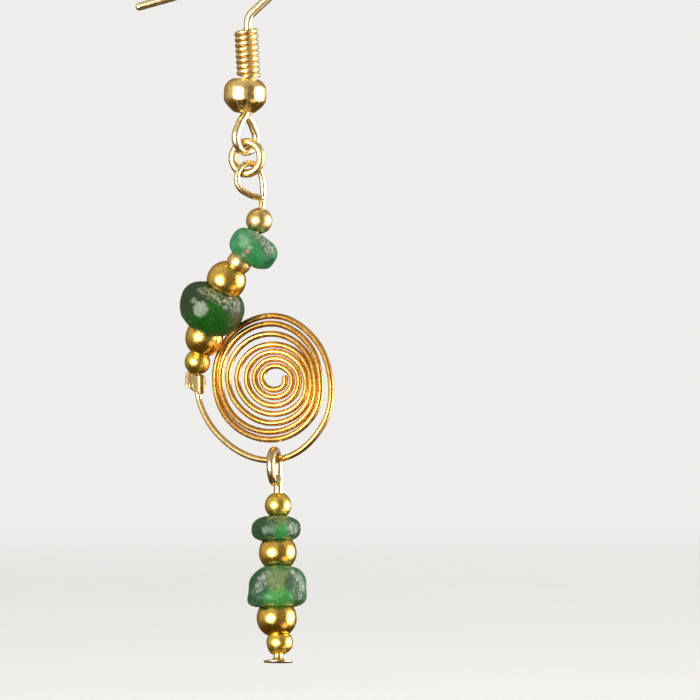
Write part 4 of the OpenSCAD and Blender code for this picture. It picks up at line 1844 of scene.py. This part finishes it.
    def build(self) -> None:
        """Builds and dresses the wire and everything threaded on it."""
        self.build_wire()
        self.gold_bead("upper_gold_small_1", 12, PALE_BEAD)
        self.glass_bead(
            "upper_glass_small", 31, SMALL_GLASS, self.SMALL_PEBBLE, self.SMALL_SHIFT,
            ["upper_gold_small_1", "upper_gold_small_2"],
        )
        self.gold_bead("upper_gold_small_2", 13, PALE_BEAD)
        self.gold_bead("upper_gold_large_1", 14, RICH_BEAD, ["upper_gold_small_2"])
        self.glass_bead(
            "upper_glass_large", 41, LARGE_GLASS, self.LARGE_PEBBLE, self.LARGE_SHIFT,
            ["upper_gold_large_1", "upper_gold_large_2"],
        )
        self.gold_bead("upper_gold_large_2", 15, RICH_BEAD, ["upper_gold_small_3"])
        self.gold_bead("upper_gold_small_3", 16, LEMON_BEAD)
        self.build_crimp()


@dataclass
class BeadDangle(Assembly):
    """The head pin that hangs from the spiral, with its beads.

    Attributes:
        hung_at: Where the spiral's wire carries it.
        wire: Thickness of the pin.
        slack: How much thinner the pin is made than its solid, at the radius.
        eye: Radius of its eye, to the middle of the wire.
        eye_end: Where round the eye its open end lies, in degrees.
        spiral_wire: Thickness of the wire that it hangs on.
        gap: Half the space left between the two wires.
        turn: Turn of the eye, in degrees.
        lean: Forward lean, in degrees.
        side: Sideways lean, in degrees.
        head_low: Height of the head below the eye's middle.
        head_width: Width of the head.
        bore: Radius of the beads' bores.
    """

    BODY = Body.DANGLE

    hung_at: np.ndarray
    wire: float = 0.85
    slack: float = 0.003
    eye: float = 1.39
    eye_end: float = 322
    spiral_wire: float = 0.6
    gap: float = 0.04
    turn: float = 13
    lean: float = 6.5
    side: float = 1.6
    head_low: float = -17.42
    head_width: float = 2.64
    bore: float = 0.5

    # Height below the eye's middle, sideways shift, and radius, 0 for glass
    BEADS = {
        "lower_gold_small_1": (3.42, -0.02, 1.22), "lower_glass_rondelle": (5.55, -0.2, 0),
        "lower_gold_medium": (7.68, -0.06, 1.73), "lower_glass_chunk": (10.77, -0.14, 0),
        "lower_gold_large": (13.6, -0.14, 1.82), "lower_gold_small_2": (15.82, 0.14, 1.21),
    }
    RONDELLE = PebbleShape(
        radius=2.2, half=1.24, square=2.5, taper=0.02,
        lump=0.03, lumps=4, lump_turn=10, rough=0.025, skew=0.05,
    )
    CHUNK = PebbleShape(
        radius=2.64, half=1.97, square=3.3, taper=0.19,
        lump=0.05, lumps=5, lump_turn=75, rough=0.055, skew=0.55,
    )
    # Where along the pin its bent eye is worn thin: share lost, middle and reach
    THIN = (0.07, 2.2, 1.3)
    # The head's neck: radius, and share of the way down to the head
    HEAD_NECK = ((0.43, 0.4), (0.46, 0.6), (0.54, 0.8), (0.68, 0.92), (0.86, 0.98))
    # Its rounded rim: how far in from its edge, and how far down
    HEAD_RIM = (
        (0.12, -0.01), (0.04, 0), (0.01, 0.03), (0, 0.08), (0.005, 0.14), (0.03, 0.19), (0.1, 0.22),
        (0.4, 0.24),
    )
    # Its underside: radius, and how far down
    HEAD_FACE = ((0.3, 0.255), (0.05, 0.26))
    # How its rim is bent: how far, how far apart the waves lie, and how far out they start
    HEAD_BENT = (0.03, 3.0, 0.8)
    # How far from the pin a bead's bore is moved onto it, and over what width that fades out
    BORE_REACH = 1.1
    BORE_FADE = 0.5

    def __post_init__(self) -> None:
        """Finds the dangle's own frame."""
        self.matrix = turned(-self.lean, -self.side, -self.turn)
        drop = self.eye - (self.wire + self.spiral_wire) / 2 - self.gap - self.gap
        self.origin = self.hung_at + self.matrix @ np.array([0, 0, -drop])

    def out(self, points: np.ndarray) -> np.ndarray:
        """Brings points from the dangle's own frame to the row's."""
        return points @ self.matrix.T + self.origin

    def middle(self, name: str) -> np.ndarray:
        """The middle of a bead."""
        low, across, _ = self.BEADS[name]
        return self.out(np.array([across, self.eye, -low]))

    def pin_path(self) -> np.ndarray:
        """Lays out the middle of the pin's wire.

        Returns:
            The points, from the open end of the eye to the foot of the stem.
        """
        angle = np.radians(np.arange(self.eye_end, -0.1, -3))
        ring = np.stack([0 * angle, self.eye * np.cos(angle), self.eye * np.sin(angle)], -1)
        levels = [*np.arange(-0.2, self.head_low + 0.3, -0.3), self.head_low + 0.34]
        stem = np.array([[0, self.eye, level] for level in levels])
        return self.out(np.concatenate([ring, stem]))

    def head(self, last: np.ndarray) -> np.ndarray:
        """Spreads the stem into the pressed head.

        Args:
            last: The last ring of the stem.

        Returns:
            The head's rings.
        """
        hub = last.mean(0)
        spokes = last - hub
        spokes /= np.linalg.norm(spokes, axis=1)[:, None]
        down = self.matrix @ np.array([0, 0, -1.0])
        half = self.head_width / 2
        start = ((hub - self.origin) @ self.matrix)[2] - self.head_low
        rows = [(radius, start * share) for radius, share in self.HEAD_NECK]
        rows += [(half - inset, start + fall) for inset, fall in self.HEAD_RIM]
        rows += [(radius, start + fall) for radius, fall in self.HEAD_FACE]
        head = np.array([hub + down * fall + spokes * radius for radius, fall in rows])
        reach = np.linalg.norm(head - hub, axis=-1, keepdims=True)
        depth, apart, inner = self.HEAD_BENT
        bent = depth * (ripple(head - hub, apart, 79)[..., None] + 0.6) * np.clip(reach - inner, 0, 1)
        return head - down * bent

    def build_pin(self) -> None:
        """Builds the pin: its open eye, its stem and its pressed head, as one bent wire."""
        def swell(along: np.ndarray) -> np.ndarray:
            """The pin's thickness at each length along it, as a share."""
            lost, place, reach = self.THIN
            return 1 - lost * np.exp(-(((along - place) / reach) ** 2))

        made = Wire(
            self.pin_path(), self.wire / 2 - self.slack, first=(1, 0, 0),
            step=0.12, sides=28, start_round=0.3, uneven=0.01, swell=swell, seed=71,
        )
        stem = made.skin().rings[: -len(made.ROUNDING)]
        skin = Skin(np.concatenate([stem, self.head(stem[-1])]))
        self.place("head_pin", skin, Slot.PIN, PIN_GOLD.material())

    def keep_bore(self, rings: np.ndarray, name: str) -> np.ndarray:
        """Moves a bead's bore onto the pin while its outside stays off centre.

        Args:
            rings: The bead's points.
            name: Its node's name.

        Returns:
            The points.
        """
        across = self.BEADS[name][1]
        local = (rings - self.origin) @ self.matrix
        far = np.hypot(local[..., 0] - across, local[..., 1] - self.eye)
        local[..., 0] -= across * np.clip((self.BORE_REACH - far) / self.BORE_FADE, 0, 1)
        return self.out(local)

    def seats(self, names: Sequence[str]) -> list[Seat]:
        """The seats that beads of the pin press into a neighbour."""
        return [Seat(self.middle(name), self.BEADS[name][2]) for name in names]

    def gold_bead(self, name: str, seed: int, finish: Gold, pressed: Sequence[str] = ()) -> None:
        """Builds a gold bead whose bore lies on the pin.

        Args:
            name: Its node's name.
            seed: Which pattern of dents.
            finish: Its finish.
            pressed: The neighbours that sit in it.
        """
        at, way, radius = self.middle(name), self.matrix[:, 2], self.BEADS[name][2]
        bead = GoldBead(at, way, radius, self.bore, self.seats(pressed), seed)
        rings = self.keep_bore(bead.skin().rings, name)
        self.place(name, Skin(rings, Ends.JOINED), Slot.BEAD, finish.material())

    def glass_bead(
        self, name: str, seed: int, finish: Glass, shape: PebbleShape, pressed: Sequence[str]
    ) -> None:
        """Builds a glass bead.

        Args:
            name: Its node's name.
            seed: Which pattern of unevenness.
            finish: Its finish.
            shape: Its form.
            pressed: The neighbours that sit in it.
        """
        low, across, _ = self.BEADS[name]
        at = self.out(np.array([0, self.eye, -low]))
        shift = self.matrix @ np.array([across, 0, 0])
        bead = Pebble(shape, at, self.matrix[:, 2], self.bore, shift, self.seats(pressed), seed)
        self.place(name, bead.skin(), finish.slot, finish.material(tuple(self.middle(name))))

    def build(self) -> None:
        """Builds and dresses the pin and its beads."""
        self.build_pin()
        self.gold_bead("lower_gold_small_1", 72, LEMON_BEAD)
        beside = ["lower_gold_small_1", "lower_gold_medium"]
        self.glass_bead("lower_glass_rondelle", 75, RONDELLE_GLASS, self.RONDELLE, beside)
        self.gold_bead("lower_gold_medium", 73, WARM_BEAD)
        beside = ["lower_gold_medium", "lower_gold_large"]
        self.glass_bead("lower_glass_chunk", 76, CHUNK_GLASS, self.CHUNK, beside)
        self.gold_bead("lower_gold_large", 74, WARM_BEAD, ["lower_gold_small_2"])
        self.gold_bead("lower_gold_small_2", 77, LEMON_BEAD)


@dataclass(frozen=True)
class Softbox:
    """A soft light that faces the earring.

    Attributes:
        name: Its name.
        way: The direction it stands in.
        far: How far away it stands, in metres.
        size: Its width and height, in metres.
        power: Its power, in watts.
        colour: Its colour.
    """

    name: str
    way: Triple
    far: float
    size: tuple[float, float]
    power: float
    colour: Colour = (1, 1, 1)

    # The earring's middle, in metres
    AIM = (0.0, 0.0, -0.036)

    def build(self) -> None:
        """Builds the light, which neither shows itself nor its reflection."""
        data = bpy.data.lights.new(self.name, "AREA")
        data.shape = "RECTANGLE"
        data.size, data.size_y = self.size
        data.energy = self.power
        data.color = self.colour
        light = bpy.data.objects.new(self.name, data)
        light.visible_camera = False
        light.visible_glossy = False
        aim = np.array(self.AIM)
        spot = aim + unit(np.array(self.way, float)) * self.far
        light.location = spot.tolist()
        light.rotation_euler = Vector((aim - spot).tolist()).to_track_quat("-Z", "Y").to_euler()
        bpy.context.scene.collection.objects.link(light)


@dataclass(frozen=True)
class Glow:
    """A round patch of the surroundings with a soft edge.

    Attributes:
        middle: Its angle from the front to the right, in radians, and its height.
        reach: How far it reaches sideways and up.
    """

    middle: tuple[float, float]
    reach: tuple[float, float]

    # Where its edge starts to fade and where it has faded, as shares of its reach
    FADE = (0.5, 1.2)

    def share(self, bench: NodeBench, turn: Any, height: Any) -> bpy.types.NodeSocket:
        """How much of it is seen.

        Args:
            bench: Where its nodes are laid out.
            turn: The angle round the object, from the front to the right.
            height: The height of the direction.

        Returns:
            Its share, from 0 to 1.
        """
        aside = bench.maths("DIVIDE", bench.less(turn, self.middle[0]), self.reach[0])
        above = bench.maths("DIVIDE", bench.less(height, self.middle[1]), self.reach[1])
        far = bench.plus(bench.maths("POWER", aside, 2.0), bench.maths("POWER", above, 2.0))
        return bench.spread(bench.maths("SQRT", far), *self.FADE, 1.0, 0.0)


@dataclass
class Studio:
    """The floor, the surroundings, the lights and the camera.

    Attributes:
        view_middle: The point that the camera looks straight at, across and up.
        view_width: Width of what it sees at the earring.
        lens: Its lens, in millimetres.
        floor_z: Height of the floor.
        floor_radius: Radius of the floor, in metres.
    """

    view_middle: tuple[float, float] = (10.18, -38.32)
    view_width: float = 63.64
    lens: float = 200
    floor_z: float = -84
    floor_radius: float = 1.2

    SOFTBOXES = (
        Softbox("Left softbox", (-0.588, -0.809, 0.02), 0.84, (0.8, 0.68), 11.2, (1, 0.98, 0.94)),
        Softbox("Right softbox", (0.998, 0.07, 0.03), 0.84, (1.0, 0.72), 12.8, (1, 0.97, 0.92)),
        Softbox("Top light", (0.05, -0.3, 1.0), 1.1, (1.0, 1.0), 13.0),
    )
    # The floor's two tones, and the distances where it starts to fade out and ends, in metres
    FLOOR_TONES = ((0.66, 0.65, 0.635), (0.69, 0.68, 0.665))
    FLOOR_FADE = (0.12, 0.7)
    # The light tent: its colour low down and high up, the heights between them, and the bright glows in it
    TENT = ((0.085, 0.054, 0.016), (0.6, 0.535, 0.42))
    TENT_RISE = (-0.72, 0.36)
    GLOWS = (
        (Glow((1.0, -0.55), (0.5, 0.25)), (1.3, 1.05, 0.7)),
        (Glow((-0.61, 0.02), (0.45, 0.36)), (11.0, 10.7, 10.2)),
        (Glow((1.6, 0.02), (0.56, 0.42)), (9.0, 8.7, 8.2)),
    )
    # The dark card in front, and how far it and the back darken the tent
    CARD = Glow((0.5, 0.2), (0.62, 0.95))
    CARD_SHADE = 0.68
    BACK_SHADE = 0.7
    BACK_RISE = (0.1, 0.9)
    # What lights the matt surfaces, and what the camera sees
    SOFT_LIGHT = (0.4, 0.4, 0.4)
    BACKDROP = (0.86, 0.85, 0.83)

    def build_camera(self) -> None:
        """Builds the camera, level and square to the front."""
        data = bpy.data.cameras.new("Camera")
        data.lens = self.lens
        data.clip_start, data.clip_end = 0.01, 20
        camera = bpy.data.objects.new("Camera", data)
        distance = self.view_width * self.lens / data.sensor_width
        camera.location = (self.view_middle[0] * MM, -distance * MM, self.view_middle[1] * MM)
        camera.rotation_euler = (math.pi / 2, 0, 0)
        bpy.context.scene.collection.objects.link(camera)
        bpy.context.scene.camera = camera

    def floor_paint(self) -> bpy.types.Material:
        """Makes the floor's pale paint, which fades out towards its rim.

        Returns:
            The material.
        """
        paint = bpy.data.materials.new("Pale floor")
        paint.use_nodes = True
        bench = NodeBench(paint.node_tree)
        shader = paint.node_tree.nodes["Principled BSDF"]
        at = bench.add("TexCoord").outputs["Object"]
        tone = bench.noise(at, 30, 4, 0.6)
        bench.feed(shader.inputs["Base Color"], bench.mix(tone, *self.FLOOR_TONES))
        shader.inputs["Roughness"].default_value = 0.7
        far = bench.vector("LENGTH", at).outputs["Value"]
        bench.feed(shader.inputs["Alpha"], bench.spread(far, *self.FLOOR_FADE, 1.0, 0.0))
        return paint

    def build_floor(self) -> None:
        """Builds the pale round floor."""
        data = bpy.data.meshes.new("Floor")
        turn = np.radians(np.arange(0, 360, 5))
        rim = np.stack([np.cos(turn), np.sin(turn), 0 * turn], -1)
        data.from_pydata((rim * self.floor_radius).tolist(), [], [list(range(len(rim)))])
        floor = bpy.data.objects.new("Floor", data)
        floor.location = (0, 0, self.floor_z * MM)
        bpy.context.scene.collection.objects.link(floor)
        data.materials.append(self.floor_paint())
        floor.visible_glossy = False

    def build_world(self) -> None:
        """Builds the pale surroundings, which the metal reflects as a light tent over a dark bench."""
        world = bpy.data.worlds.new("Studio")
        world.use_nodes = True
        bpy.context.scene.world = world
        bench = NodeBench(world.node_tree)
        split = bench.add("SeparateXYZ")
        bench.feed(split.inputs[0], bench.add("TexCoord").outputs["Generated"])
        x, y, z = split.outputs
        turn = bench.maths("ARCTAN2", x, bench.times(y, -1.0))
        card = bench.times(self.CARD.share(bench, turn, z), self.CARD_SHADE)
        tent = bench.times(bench.spread(z, *self.TENT_RISE), bench.less(1.0, card))
        back = bench.times(bench.spread(y, *self.BACK_RISE), self.BACK_SHADE)
        tent = bench.times(tent, bench.less(1.0, back))
        seen = bench.mix(tent, *self.TENT)
        for glow, colour in self.GLOWS:
            seen = bench.mix(glow.share(bench, turn, z), seen, colour)
        ray = bench.add("LightPath").outputs
        soft = bench.mix(ray["Is Glossy Ray"], self.SOFT_LIGHT, seen)
        shown = bench.mix(ray["Is Camera Ray"], soft, self.BACKDROP)
        bench.feed(world.node_tree.nodes["Background"].inputs["Color"], shown)

    def build(self) -> None:
        """Sets up the whole studio."""
        self.build_camera()
        self.build_floor()
        self.build_world()
        for box in self.SOFTBOXES:
            box.build()
        bpy.context.scene.view_settings.view_transform = "Standard"


def main() -> None:
    """Builds the earring piece by piece, then the studio round it."""
    logging.basicConfig(level=logging.INFO, format="%(message)s")
    string = SpiralString()
    hung_at = string.spiral_point(string.HANG)
    for assembly in (EarHook(), JumpRing(), string, BeadDangle(hung_at)):
        assembly.build()
    Studio().build()


if __name__ == "__main__":
    main()
